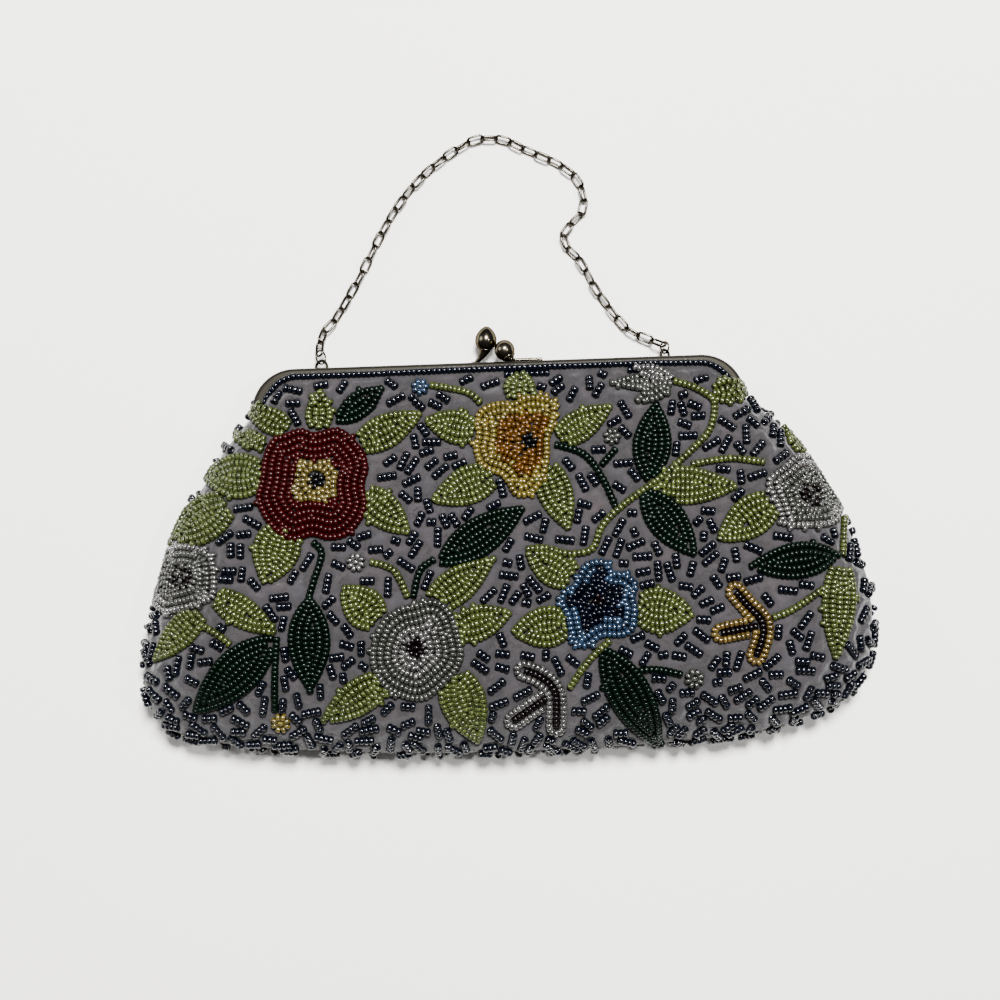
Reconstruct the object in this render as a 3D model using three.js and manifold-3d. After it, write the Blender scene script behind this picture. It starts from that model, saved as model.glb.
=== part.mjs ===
// A beaded evening purse with a clasp frame and a chain handle, lying on its back.
// Millimetres. +X runs along the frame, +Y from the bag to the chain, +Z out of the front.
// While it is built, y = 0 is the top of the frame and z = 0 the surface under the back panel.
// The finished group is moved so that its origin is the bottom centre of its box.

import * as THREE from 'three';
import { mergeVertices } from 'three/addons/utils/BufferGeometryUtils.js';
import Module from 'manifold-3d';

const wasm = await Module();
wasm.setup();

// Bag sizes
const bagHeight = 122;
const bagHalfWidth = 114;
const clothThickness = 2.8;
const crownRise = 17.6;
const bottomSeamHeight = 9;
const frontRoll = 30;
const backRoll = 19;
const foldDepth = 1.6;

// Frame sizes
const frameWidth = 152.8;
const frameCornerRadius = 13.5;
const frameFace = 4.2;
const frameHalfDepth = 4.45;
const frameMetal = 0.9;
const frameRounding = 1.3;
const hingeDown = 27;
const hingeEyeRadius = 2.4;
const hingePinRadius = 0.9;
const hingeEyeFrom = 30;
const hingeEyeSweep = 230;
const hingeEyeOverlap = 1.9;
const rivetHeadRadius = 1.9;
const rivetHeadThickness = 0.8;
const rivetFlatShare = 0.7;
const gripDepth = 2;
const gripEndAngle = 60;

// Clasp sizes
const knobStemRadius = 0.75;
const knobStemShare = 0.3;
const knobCupRadius = 1.4;
const knobCollarRadius = 1.9;
const knobCollarSink = 0.1;
const knobCollarRise = 0.35;
const knobPlateRadius = 1.25;
const knobPlateThickness = 0.45;
const knobStripLength = 9.4;
const knobStripWidth = 1.6;
const knobStripHeight = 0.9;
const knobPinRadius = 0.6;

// Chain sizes
const earWire = 0.9;
const earTurn = 35;
const jumpRingWire = 0.6;
const jumpRingTurn = -52;
const linkWidth = 3.3;
const linkWire = 0.8;
const linkLengthAim = 5.95;
const linkBite = 0.2;
const linkRoll = -45;
const linkRollSway = 14;
const linkSwayEvery = 11;

// Clearances between pieces that touch, and how far a cut reaches past a face
const clearance = 0.3;
const mouthRoom = 0.48;
const armRoom = 0.39;
const cutReach = 0.6;

// How the cloth is drawn
const tableSmoothing = 0.4;
const gripLeast = 0.1;
const edgeDensity = { down: 0.55, across: 0.6 };

// Facets
const panelColumns = { front: 26, back: 18 };
const panelRows = { front: 15, back: 10 };
const facets = {
  outline: 6,
  corner: 7,
  rounding: 2,
  eye: 6,
  ball: 8,
  knobSides: 12,
  ear: 8,
  ring: 12,
  ringSides: 6,
  link: 10,
  linkSides: 5,
  route: 3000,
};

// Limits of the search for an even chain, and the shortest edge that is kept
const spacingPlay = 0.1;
const spacingPrecision = 0.0005;
const shortestEdge = 0.02;

// Heights that follow from the sizes
const armCover = clothThickness + clearance + frameHalfDepth + clearance / 2;
const midHeight = armCover;
const slotMiddle = clearance / 2 + frameHalfDepth / 2;
const frameHalfWidth = frameWidth / 2;
const cornerCentre = frameHalfWidth - frameCornerRadius;
const lipRadius = frameCornerRadius - frameFace - mouthRoom;

// The sewn edge down each side, from the shoulder to the bottom corner.
// down is a share of the bag's height, left and right are shares of the bag's flare beyond the frame.
const sides = [
  { down: 0.103, left: 0.012, right: 0.027 },
  { down: 0.130, left: 0.084, right: 0.127 },
  { down: 0.160, left: 0.172, right: 0.251 },
  { down: 0.197, left: 0.269, right: 0.348 },
  { down: 0.254, left: 0.382, right: 0.491 },
  { down: 0.328, left: 0.551, right: 0.633 },
  { down: 0.410, left: 0.697, right: 0.788 },
  { down: 0.492, left: 0.779, right: 0.897 },
  { down: 0.574, left: 0.864, right: 0.982 },
  { down: 0.656, left: 0.945, right: 1.012 },
  { down: 0.738, left: 0.988, right: 1.009 },
  { down: 0.800, left: 0.991, right: 0.958 },
  { down: 0.852, left: 0.939, right: 0.867 },
];

// The sewn edge from each bottom corner to the middle of the bottom.
// down is a share of the bag's height, left and right are shares of its half width.
const bottom = [
  { down: 0.898, left: 0.943, right: 0.905 },
  { down: 0.934, left: 0.878, right: 0.818 },
  { down: 0.962, left: 0.722, right: 0.718 },
  { down: 0.982, left: 0.500, right: 0.560 },
  { down: 0.996, left: 0.250, right: 0.290 },
  { down: 1.000, left: 0.000, right: 0.000 },
];

// The fullness of the bag down its middle.
// down is a share of the bag's height, rise a share of the crown above the arms,
// roll the width of the rounded edge as a share of its full width.
const fullness = [
  { down: 0.10, rise: 0.00, roll: 0.22 },
  { down: 0.14, rise: 0.10, roll: 0.30 },
  { down: 0.20, rise: 0.26, roll: 0.46 },
  { down: 0.30, rise: 0.50, roll: 0.72 },
  { down: 0.42, rise: 0.74, roll: 0.95 },
  { down: 0.55, rise: 0.93, roll: 1.00 },
  { down: 0.68, rise: 1.00, roll: 0.98 },
  { down: 0.80, rise: 0.95, roll: 0.90 },
  { down: 0.90, rise: 0.84, roll: 0.80 },
  { down: 1.00, rise: 0.70, roll: 0.74 },
];

// Soft folds and hollows of the front.
// across and down place the middle, long and wide are its reach as shares of the bag's height,
// deep is a share of the fold depth (a ridge is below zero), turn is its lean from upright.
const folds = [
  { across: -0.46, down: 0.17, long: 0.15, wide: 0.075, deep: 0.55, turn: 24 },
  { across: -0.16, down: 0.15, long: 0.14, wide: 0.070, deep: 0.50, turn: 8 },
  { across: 0.20, down: 0.15, long: 0.14, wide: 0.070, deep: 0.55, turn: -10 },
  { across: 0.50, down: 0.19, long: 0.16, wide: 0.075, deep: 0.60, turn: -26 },
  { across: 0.60, down: 0.47, long: 0.16, wide: 0.075, deep: 0.70, turn: 62 },
  { across: 0.74, down: 0.66, long: 0.17, wide: 0.075, deep: 0.70, turn: 40 },
  { across: -0.86, down: 0.84, long: 0.13, wide: 0.070, deep: 1.00, turn: 52 },
  { across: 0.30, down: 0.72, long: 0.20, wide: 0.080, deep: -0.45, turn: 80 },
  { across: -0.34, down: 0.62, long: 0.24, wide: 0.090, deep: -0.55, turn: 75 },
  { across: -0.62, down: 0.48, long: 0.16, wide: 0.075, deep: 0.50, turn: -50 },
];

// Where each ear stands, the radius and the legs of its arch, and the radius of the ring in it.
const leftEar = { side: -1, x: -54.9, radius: 2.3, leg: 0.35, ring: 2.1 };
const rightEar = { side: 1, x: 52.5, radius: 1.6, leg: 0.72, ring: 1.8 };

// The way that the chain lies, from the left jump ring to the right one.
const chainRoute = [
  { x: -55.4, y: 4.4, z: 6.0 },
  { x: -55.4, y: 7.6, z: 4.8 },
  { x: -53.9, y: 12.2, z: 2.2 },
  { x: -50.8, y: 15.3, z: 1.6 },
  { x: -46.7, y: 21.6, z: 1.6 },
  { x: -42.0, y: 29.2, z: 1.6 },
  { x: -37.8, y: 37.2, z: 1.6 },
  { x: -33.4, y: 45.0, z: 1.6 },
  { x: -28.3, y: 52.4, z: 1.6 },
  { x: -20.9, y: 60.4, z: 1.6 },
  { x: -12.6, y: 66.6, z: 1.6 },
  { x: -4.2, y: 70.9, z: 1.6 },
  { x: 4.2, y: 70.6, z: 1.6 },
  { x: 11.4, y: 67.0, z: 1.6 },
  { x: 19.6, y: 63.2, z: 1.6 },
  { x: 26.2, y: 58.6, z: 1.6 },
  { x: 29.2, y: 51.6, z: 1.6 },
  { x: 27.4, y: 45.0, z: 1.6 },
  { x: 22.6, y: 41.8, z: 1.6 },
  { x: 22.4, y: 37.2, z: 1.6 },
  { x: 27.2, y: 31.6, z: 1.6 },
  { x: 31.6, y: 22.8, z: 1.6 },
  { x: 36.6, y: 15.4, z: 1.6 },
  { x: 41.6, y: 9.2, z: 2.2 },
  { x: 49.0, y: 5.5, z: 3.1 },
  { x: 52.6, y: 3.9, z: 4.6 },
];

const lerp = THREE.MathUtils.lerp;
const radians = THREE.MathUtils.degToRad;
const smooth = (value, from, to) => THREE.MathUtils.smoothstep(value, from, to);

// Materials
const gunmetal = { color: 0x3a3835, roughness: 0.32, metalness: 0.9 };
const metalOf = () => new THREE.MeshStandardMaterial(gunmetal);
const clothOf = () => new THREE.MeshStandardMaterial({ color: 0x6f6a74, roughness: 0.9, metalness: 0 });

const bag = new THREE.Group();

function addPiece(name, geometry, material) {
  const mesh = new THREE.Mesh(geometry, material);
  mesh.name = name;
  bag.add(mesh);
  return mesh;
}

// Solids that are joined and cut
function solidOf(geometry) {
  const bare = geometry.clone();
  bare.deleteAttribute('normal');
  bare.deleteAttribute('uv');
  const merged = mergeVertices(bare, 1e-4);
  return new wasm.Manifold(new wasm.Mesh({
    numProp: 3,
    vertProperties: new Float32Array(merged.attributes.position.array),
    triVerts: new Uint32Array(merged.index.array),
  }));
}

function geometryOf(solid) {
  const mesh = solid.getMesh();
  const geometry = new THREE.BufferGeometry();
  geometry.setAttribute('position', new THREE.BufferAttribute(mesh.vertProperties, 3));
  geometry.setIndex(new THREE.BufferAttribute(mesh.triVerts, 1));
  geometry.computeVertexNormals();
  return geometry;
}

// A cut can leave edges too short to matter: their two ends become one corner
function withoutShortEdges(solid) {
  const mesh = solid.getMesh();
  const corner = (k) => new THREE.Vector3().fromArray(mesh.vertProperties, 3 * k);
  const kept = Array.from({ length: mesh.vertProperties.length / 3 }, (_, k) => k);
  const keptBy = (k) => (kept[k] === k ? k : keptBy(kept[k]));
  for (let t = 0; t < mesh.triVerts.length; t += 3) {
    for (let side = 0; side < 3; side += 1) {
      const from = keptBy(mesh.triVerts[t + side]);
      const to = keptBy(mesh.triVerts[t + (side + 1) % 3]);
      if (from !== to && corner(from).distanceTo(corner(to)) < shortestEdge) kept[to] = from;
    }
  }
  const corners = [];
  for (let t = 0; t < mesh.triVerts.length; t += 3) {
    const triangle = [0, 1, 2].map((side) => keptBy(mesh.triVerts[t + side]));
    if (new Set(triangle).size === 3) corners.push(...triangle);
  }
  const geometry = new THREE.BufferGeometry();
  geometry.setAttribute('position', new THREE.BufferAttribute(mesh.vertProperties, 3));
  geometry.setIndex(corners);
  return solidOf(geometry);
}

// What a cut leaves hanging at its edge is trimmed off
function mainBody(solid) {
  return withoutShortEdges(solid).decompose()
    .reduce((main, part) => (part.volume() > main.volume() ? part : main));
}

function placed(geometry, { at = [0, 0, 0], turn = [0, 0, 0] }) {
  const place = new THREE.Object3D();
  place.position.set(...at);
  place.rotation.set(...turn);
  place.updateMatrix();
  return geometry.clone().applyMatrix4(place.matrix);
}

function alongAxis(geometry, from, to) {
  const place = new THREE.Object3D();
  place.position.copy(from);
  const axis = to.clone().sub(from).normalize();
  place.quaternion.setFromUnitVectors(new THREE.Vector3(0, 1, 0), axis);
  place.updateMatrix();
  return geometry.clone().applyMatrix4(place.matrix);
}

// A path through chosen stations, each with its own direction
class StationPath extends THREE.Curve {
  constructor(stations) {
    super();
    this.stations = stations;
  }

  station(u) {
    return this.stations[Math.round(u * (this.stations.length - 1))];
  }

  getPoint(u) {
    return this.station(u).point.clone();
  }

  getPointAt(u) {
    return this.station(u).point.clone();
  }

  getTangentAt(u) {
    return this.station(u).tangent.clone();
  }
}

function sweep(section, stations) {
  return new THREE.ExtrudeGeometry(new THREE.Shape(section), {
    extrudePath: new StationPath(stations),
    steps: stations.length - 1,
    bevelEnabled: false,
  });
}

// Lines in the plan of the bag, as points (x, down)
function lengthsAlong(line) {
  const lengths = [0];
  for (let k = 1; k < line.length; k += 1) {
    lengths.push(lengths[k - 1] + line[k].distanceTo(line[k - 1]));
  }
  return lengths;
}

function pointAlong(line, lengths, share) {
  const wanted = share * lengths[lengths.length - 1];
  let k = 1;
  while (k < line.length - 1 && lengths[k] < wanted) k += 1;
  const part = (wanted - lengths[k - 1]) / (lengths[k] - lengths[k - 1]);
  return line[k - 1].clone().lerp(line[k], part);
}

function sideLine(side) {
  const sign = side === 'left' ? -1 : 1;
  const place = (reach, down) => new THREE.Vector2(sign * reach, down * bagHeight);
  const rows = [
    ...sides.map((row) => place(lerp(frameHalfWidth, bagHalfWidth, row[side]), row.down)),
    ...bottom.map((row) => place(row[side] * bagHalfWidth, row.down)),
  ];
  return new THREE.SplineCurve(rows).getPoints((rows.length - 1) * facets.outline);
}

// The sewn edge, from the left shoulder round the bottom to the right shoulder
const sewnLine = [...sideLine('left'), ...sideLine('right').reverse().slice(1)];
const leftCorner = (sides.length - 1) * facets.outline;
const rightCorner = sewnLine.length - 1 - leftCorner;

function insetLine(line, inset) {
  return line.map((point, k) => {
    const before = line[Math.max(k - 1, 0)];
    const after = line[Math.min(k + 1, line.length - 1)];
    const along = after.clone().sub(before).normalize();
    return new THREE.Vector2(point.x + along.y * inset, point.y - along.x * inset);
  });
}

function distanceToSewn(x, down) {
  let nearest = Infinity;
  for (let k = 1; k < sewnLine.length; k += 1) {
    const a = sewnLine[k - 1];
    const b = sewnLine[k];
    const dx = b.x - a.x;
    const dy = b.y - a.y;
    const along = ((x - a.x) * dx + (down - a.y) * dy) / (dx * dx + dy * dy);
    const part = THREE.MathUtils.clamp(along, 0, 1);
    nearest = Math.min(nearest, Math.hypot(x - a.x - part * dx, down - a.y - part * dy));
  }
  return nearest;
}

// The mouth follows the inner edge of the frame, then crosses its arms to the shoulders
function mouthLine(leftShoulder, rightShoulder) {
  const line = [];
  for (let k = facets.corner; k >= 0; k -= 1) {
    const angle = radians(gripEndAngle) * k / facets.corner;
    line.push(new THREE.Vector2(
      -cornerCentre - lipRadius * Math.sin(angle),
      frameCornerRadius - lipRadius * Math.cos(angle),
    ));
  }
  const rightHalf = line.map((point) => new THREE.Vector2(-point.x, point.y)).reverse();
  return [leftShoulder, ...line, ...rightHalf, rightShoulder];
}

// Heights over the plan
function column(table, key, down) {
  const share = down / bagHeight;
  if (share <= table[0].down) return table[0][key];
  for (let k = 1; k < table.length; k += 1) {
    const low = table[k - 1];
    const high = table[k];
    if (share <= high.down) {
      const part = (share - low.down) / (high.down - low.down);
      return lerp(low[key], high[key], lerp(part, smooth(part, 0, 1), tableSmoothing));
    }
  }
  return table[table.length - 1][key];
}

const seamHeight = (down) => lerp(midHeight, bottomSeamHeight, smooth(down, hingeDown, bagHeight));
const mouthDown = frameFace + mouthRoom;
const shoulderDown = sides[0].down * bagHeight;
const slotTop = frameHalfDepth / 2 + gripDepth / 2;

// How far the cloth has left the channel: from 0 along the mouth to 1 below the shoulders.
// Round the corners it is measured from the frame's bend, and towards the arms straight down.
function outOfMouth(x, down) {
  const across = Math.max(Math.abs(x) - cornerCentre, 0);
  const up = Math.max(frameCornerRadius - down, 0);
  const bend = frameCornerRadius - Math.hypot(across, up);
  const angle = THREE.MathUtils.radToDeg(Math.atan2(across, up));
  const inwards = lerp(Math.max(bend, mouthDown), down, smooth(angle, gripEndAngle / 2, gripEndAngle));
  return smooth(up > 0 ? inwards : down, mouthDown, shoulderDown);
}

const wallAt = (x, down) => lerp(gripDepth, clothThickness, outOfMouth(x, down));

function foldAt(x, down) {
  let depth = 0;
  for (const fold of folds) {
    const dx = x - fold.across * bagHalfWidth;
    const dy = down - fold.down * bagHeight;
    const turn = radians(fold.turn);
    const along = (dy * Math.cos(turn) + dx * Math.sin(turn)) / (fold.long * bagHeight);
    const over = (dx * Math.cos(turn) - dy * Math.sin(turn)) / (fold.wide * bagHeight);
    depth += fold.deep * foldDepth * Math.exp(-along * along - over * over);
  }
  return depth * outOfMouth(x, down);
}

const rounded = (share) => Math.sqrt(1 - (1 - THREE.MathUtils.clamp(share, 0, 1)) ** 2);

function frontHeight(x, down, inset) {
  const full = armCover + (crownRise - armCover) * column(fullness, 'rise', down);
  const wall = inset > 0 ? wallAt(x, down) : 0;
  const rise = lerp(slotTop, full, outOfMouth(x, down)) - wall;
  const roll = frontRoll * column(fullness, 'roll', down) - inset;
  const edge = rounded((distanceToSewn(x, down) - inset) / roll);
  return seamHeight(down) + clearance / 2 + (rise - foldAt(x, down) * edge) * edge;
}

function backHeight(x, down, inset) {
  const wall = inset > 0 ? wallAt(x, down) : 0;
  const full = seamHeight(down) - clearance / 2;
  const depth = lerp(slotTop, full, outOfMouth(x, down)) - wall;
  const roll = backRoll * column(fullness, 'roll', down) - inset;
  const edge = rounded((distanceToSewn(x, down) - inset) / roll);
  return seamHeight(down) - clearance / 2 - depth * edge;
}

// A wall of cloth between an outer and an inner face over the same plan
const denserEdge = (share, amount) => lerp(share, 0.5 - 0.5 * Math.cos(Math.PI * share), amount);

function facePoints(side, inset) {
  const sewn = insetLine(sewnLine, inset);
  const last = sewn.length - 1;
  const lines = {
    left: sewn.slice(0, leftCorner + 1),
    bottom: sewn.slice(leftCorner, rightCorner + 1),
    right: sewn.slice(rightCorner).reverse(),
    mouth: mouthLine(sewn[0], sewn[last]),
  };
  const lengths = Object.fromEntries(
    Object.entries(lines).map(([key, line]) => [key, lengthsAlong(line)]));
  const at = (key, share) => pointAlong(lines[key], lengths[key], share);
  const columns = panelColumns[side];
  const rows = panelRows[side];
  const height = side === 'front' ? frontHeight : backHeight;
  const grid = [];
  for (let j = 0; j <= rows; j += 1) {
    const t = denserEdge(j / rows, edgeDensity.down);
    const row = [];
    for (let i = 0; i <= columns; i += 1) {
      const s = denserEdge(i / columns, edgeDensity.across);
      const plan = new THREE.Vector2()
        .addScaledVector(at('mouth', s), 1 - t)
        .addScaledVector(at('bottom', s), t)
        .addScaledVector(at('left', t), 1 - s)
        .addScaledVector(at('right', t), s)
        .addScaledVector(at('mouth', 0), -(1 - s) * (1 - t))
        .addScaledVector(at('mouth', 1), -s * (1 - t))
        .addScaledVector(at('bottom', 0), -(1 - s) * t)
        .addScaledVector(at('bottom', 1), -s * t);
      row.push([plan.x, -plan.y, height(plan.x, plan.y, inset)]);
    }
    grid.push(row);
  }
  grid.unshift(gripRow(grid[0]));
  return grid;
}

// The edge that the frame grips: the mouth's row, moved up into the channel
function gripRow(mouthRow) {
  const length = frameFace + mouthRoom - frameMetal - clearance;
  return mouthRow.map(([x, y, z]) => {
    const beyond = Math.max(Math.abs(x) - cornerCentre, 0);
    const outwards = new THREE.Vector2(Math.sign(x) * beyond, y + frameCornerRadius).normalize();
    const gripped = 1 - smooth(beyond, 0, lipRadius * Math.sin(radians(gripEndAngle)));
    const shift = length * Math.max(gripped, gripLeast);
    return [x + shift * outwards.x, y + shift * outwards.y, z];
  });
}

function panelGeometry(side) {
  const faces = [facePoints(side, 0), facePoints(side, clothThickness)];
  const columns = panelColumns[side];
  const rows = panelRows[side] + 1;
  const positions = faces.flat(3);
  const triangles = [];
  const index = (face, j, i) => face * (columns + 1) * (rows + 1) + j * (columns + 1) + i;
  const quad = (a, b, c, d) => triangles.push(a, b, c, a, c, d);
  for (let j = 0; j < rows; j += 1) {
    for (let i = 0; i < columns; i += 1) {
      quad(index(0, j, i), index(0, j + 1, i), index(0, j + 1, i + 1), index(0, j, i + 1));
      quad(index(1, j, i), index(1, j, i + 1), index(1, j + 1, i + 1), index(1, j + 1, i));
    }
  }
  for (let i = 0; i < columns; i += 1) {
    quad(index(0, 0, i), index(0, 0, i + 1), index(1, 0, i + 1), index(1, 0, i));
    quad(index(0, rows, i + 1), index(0, rows, i), index(1, rows, i), index(1, rows, i + 1));
  }
  for (let j = 0; j < rows; j += 1) {
    quad(index(0, j + 1, 0), index(0, j, 0), index(1, j, 0), index(1, j + 1, 0));
    quad(index(0, j, columns), index(0, j + 1, columns), index(1, j + 1, columns), index(1, j, columns));
  }
  if (side === 'back') triangles.reverse();
  const geometry = new THREE.BufferGeometry();
  geometry.setAttribute('position', new THREE.BufferAttribute(new Float32Array(positions), 3));
  geometry.setIndex(triangles);
  return geometry;
}

// Stations along the frame, from the left arm over the top to the right arm
function stationList() {
  const stations = [];
  const add = (x, y, tx, ty) => stations.push({
    point: new THREE.Vector3(x, y, 0),
    tangent: new THREE.Vector3(tx, ty, 0),
  });
  return { stations, add };
}

function frameStations(startAngle, armDown) {
  const { stations, add } = stationList();
  const corner = (side, angle) => add(
    side * (cornerCentre + frameCornerRadius * Math.sin(angle)),
    -frameCornerRadius + frameCornerRadius * Math.cos(angle),
    Math.cos(angle),
    -side * Math.sin(angle),
  );
  if (armDown) add(-frameHalfWidth, -armDown, 0, 1);
  for (let k = facets.corner; k >= 0; k -= 1) corner(-1, startAngle * k / facets.corner);
  for (let k = 0; k <= facets.corner; k += 1) corner(1, startAngle * k / facets.corner);
  if (armDown) add(frameHalfWidth, -armDown, 0, -1);
  return stations;
}

// One arm alone, from its foot up into the corner
function armStations(side) {
  const whole = frameStations(Math.PI / 2, hingeDown);
  const count = facets.corner;
  return side < 0 ? whole.slice(0, count) : whole.slice(-count);
}

// The section of a frame half: first number towards the front, second inwards from the outer edge
function sectionOf(points, towards) {
  return points.map(([depth, inward]) => (
    new THREE.Vector2(-(midHeight + towards * depth), -inward)));
}

function roundedCorner(depth, inward, depthSign) {
  const points = [];
  for (let k = 0; k <= facets.rounding; k += 1) {
    const angle = (Math.PI / 2) * k / facets.rounding;
    points.push([
      depth + depthSign * frameRounding * (Math.sin(angle) - 1),
      inward + frameRounding * (1 - Math.cos(angle)),
    ]);
  }
  return points;
}

const nearFace = clearance / 2;
const farFace = clearance / 2 + frameHalfDepth;

function frameHalf(towards) {
  const channel = [
    [nearFace, 0],
    ...roundedCorner(farFace, 0, 1),
    [farFace, frameFace],
    [farFace - frameMetal, frameFace],
    [farFace - frameMetal, frameMetal],
    [nearFace + frameMetal, frameMetal],
    [nearFace + frameMetal, frameFace],
    [nearFace, frameFace],
  ];
  const armDown = hingeDown - hingeEyeRadius - 2 * clearance;
  let half = solidOf(sweep(sectionOf(channel, towards), frameStations(Math.PI / 2, armDown)));
  for (const side of [-1, 1]) half = half.add(hingeTab(towards, side, armDown));
  for (const knob of knobs.filter((each) => each.towards === towards)) {
    const drill = new THREE.CylinderGeometry(
      knobPinRadius + clearance, knobPinRadius + clearance, 2 * (frameMetal + cutReach), facets.knobSides);
    half = half.subtract(solidOf(placed(drill, { at: [knob.foot.x, 0, knob.foot.z] })));
  }
  return half;
}

// The flat eye at the end of each arm; the back half's eye lies inside the front half's
const tabOuter = (towards) => frameHalfWidth - (towards > 0 ? 0 : frameMetal + clearance);

function hingeTab(towards, side, armDown) {
  const eye = new THREE.Shape();
  eye.moveTo(midHeight + towards * nearFace, -armDown + hingeEyeOverlap);
  eye.lineTo(midHeight + towards * farFace, -armDown + hingeEyeOverlap);
  eye.lineTo(midHeight + towards * farFace, -armDown);
  const from = radians(towards > 0 ? hingeEyeFrom : 180 - hingeEyeFrom);
  const to = from - towards * radians(hingeEyeSweep);
  eye.absarc(midHeight, -hingeDown, hingeEyeRadius, from, to, towards > 0);
  eye.lineTo(midHeight + towards * nearFace, -armDown);
  eye.closePath();
  const hole = new THREE.Path();
  hole.absarc(midHeight, -hingeDown, hingePinRadius + clearance, 0, 2 * Math.PI, false);
  eye.holes.push(hole);
  const plate = new THREE.ExtrudeGeometry(eye, {
    depth: frameMetal, bevelEnabled: false, curveSegments: facets.eye,
  });
  const turned = placed(plate, { turn: [0, -Math.PI / 2, 0] });
  const outer = tabOuter(towards);
  return solidOf(placed(turned, { at: [side > 0 ? outer : -outer + frameMetal, 0, 0] }));
}

function hingeRivet(side) {
  const inner = frameHalfWidth - 2 * frameMetal - 2 * clearance;
  const outer = frameHalfWidth + clearance;
  const head = rivetHeadThickness;
  const profile = [
    [0, inner - head],
    [rivetHeadRadius * rivetFlatShare, inner - head],
    [rivetHeadRadius, inner - head / 2],
    [rivetHeadRadius, inner],
    [hingePinRadius, inner],
    [hingePinRadius, outer],
    [rivetHeadRadius, outer],
    [rivetHeadRadius, outer + head / 2],
    [rivetHeadRadius * rivetFlatShare, outer + head],
    [0, outer + head],
  ].map(([radius, height]) => new THREE.Vector2(radius, height));
  const rivet = new THREE.LatheGeometry(profile, facets.knobSides);
  return placed(rivet, { at: [0, -hingeDown, midHeight], turn: [0, 0, -side * Math.PI / 2] });
}

// The kiss lock: each knob stands on its own half and leans past the other.
// foot and ball are places over the top of the frame, long stretches the ball along its stem,
// and the front knob's foot runs on as a flat strip along the top.
const slotLine = (towards) => midHeight + towards * slotMiddle;
const knobs = [
  {
    name: 'clasp_knob_back', towards: -1, radius: 3.4, long: 1.3, strip: false,
    foot: new THREE.Vector3(-6.7, 0, slotLine(-1)), ball: new THREE.Vector3(-3.25, 7.1, midHeight - 1),
  },
  {
    name: 'clasp_knob_front', towards: 1, radius: 3.2, long: 1, strip: true,
    foot: new THREE.Vector3(4.6, 0, slotLine(1)), ball: new THREE.Vector3(2.4, 3.7, midHeight + 1.2),
  },
];

function knobSolid(knob) {
  const base = knob.foot.clone().setY(clearance);
  const reach = base.distanceTo(knob.ball);
  const ballBottom = reach - knob.radius;
  const profile = [
    [0, 0],
    [knobStemRadius, 0],
    [knobStemRadius, knobStemShare * ballBottom],
    [knobCupRadius, ballBottom - knobCollarSink],
    [knobCollarRadius, ballBottom - knobCollarSink],
    [knobCollarRadius, ballBottom + knobCollarRise],
  ];
  const firstStep = Math.ceil(facets.ball * Math.asin(knobCollarRadius / knob.radius) / Math.PI) + 1;
  for (let k = firstStep; k <= facets.ball; k += 1) {
    const angle = Math.PI * k / facets.ball;
    const stretch = k > facets.ball / 2 ? knob.long : 1;
    profile.push([
      knob.radius * Math.sin(angle),
      reach - knob.radius * stretch * Math.cos(angle),
    ]);
  }
  profile[profile.length - 1][0] = 0;
  const turned = new THREE.LatheGeometry(
    profile.map(([radius, height]) => new THREE.Vector2(radius, height)), facets.knobSides);
  const plate = new THREE.CylinderGeometry(
    knobPlateRadius, knobPlateRadius, knobPlateThickness, facets.knobSides);
  const pin = new THREE.CylinderGeometry(
    knobPinRadius, knobPinRadius, frameMetal + 2 * clearance, facets.knobSides);
  const solid = solidOf(alongAxis(turned, base, knob.ball))
    .add(solidOf(placed(plate, { at: [base.x, clearance + knobPlateThickness / 2, base.z] })))
    .add(solidOf(placed(pin, { at: [base.x, -frameMetal / 2 + clearance, base.z] })));
  if (!knob.strip) return solid;
  const strip = new THREE.BoxGeometry(knobStripLength, knobStripHeight, knobStripWidth);
  const middle = [base.x + knobStripLength / 2, clearance + knobStripHeight / 2, base.z];
  return solid.add(solidOf(placed(strip, { at: middle })));
}

// Ears for the chain on the back half, and the jump rings that hang in them
function earSolid({ side, x, radius, leg }) {
  const { stations, add } = stationList();
  add(-radius, -frameMetal / 2, 0, 1);
  for (let k = 0; k <= facets.ear; k += 1) {
    const angle = Math.PI * (1 - k / facets.ear);
    const [across, up] = [Math.cos(angle), Math.sin(angle)];
    add(radius * across, leg + radius * up, up, -across);
  }
  add(radius, -frameMetal / 2, 0, -1);
  const wire = [];
  for (let k = 0; k < facets.ringSides; k += 1) {
    const angle = 2 * Math.PI * k / facets.ringSides;
    wire.push(new THREE.Vector2(earWire / 2 * Math.cos(angle), earWire / 2 * Math.sin(angle)));
  }
  return solidOf(placed(sweep(wire, stations), {
    at: [x, 0, slotLine(-1)], turn: [0, radians(earTurn) * side, 0],
  }));
}

function jumpRing(ear) {
  const end = chainRoute[ear.side < 0 ? 0 : chainRoute.length - 1];
  const earTop = ear.leg + ear.radius + earWire / 2;
  const lean = Math.atan2(end.x - ear.x, end.y + earTop);
  const bottom = earTop - earWire - clearance - jumpRingWire / 2;
  const ring = new THREE.TorusGeometry(ear.ring, jumpRingWire / 2, facets.ringSides, facets.ring);
  const turned = placed(ring, { turn: [0, radians(jumpRingTurn) * ear.side, 0] });
  const raised = placed(turned, { at: [0, ear.ring, 0] });
  return placed(raised, { at: [ear.x, bottom, slotLine(-1)], turn: [0, 0, -lean] });
}

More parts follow.
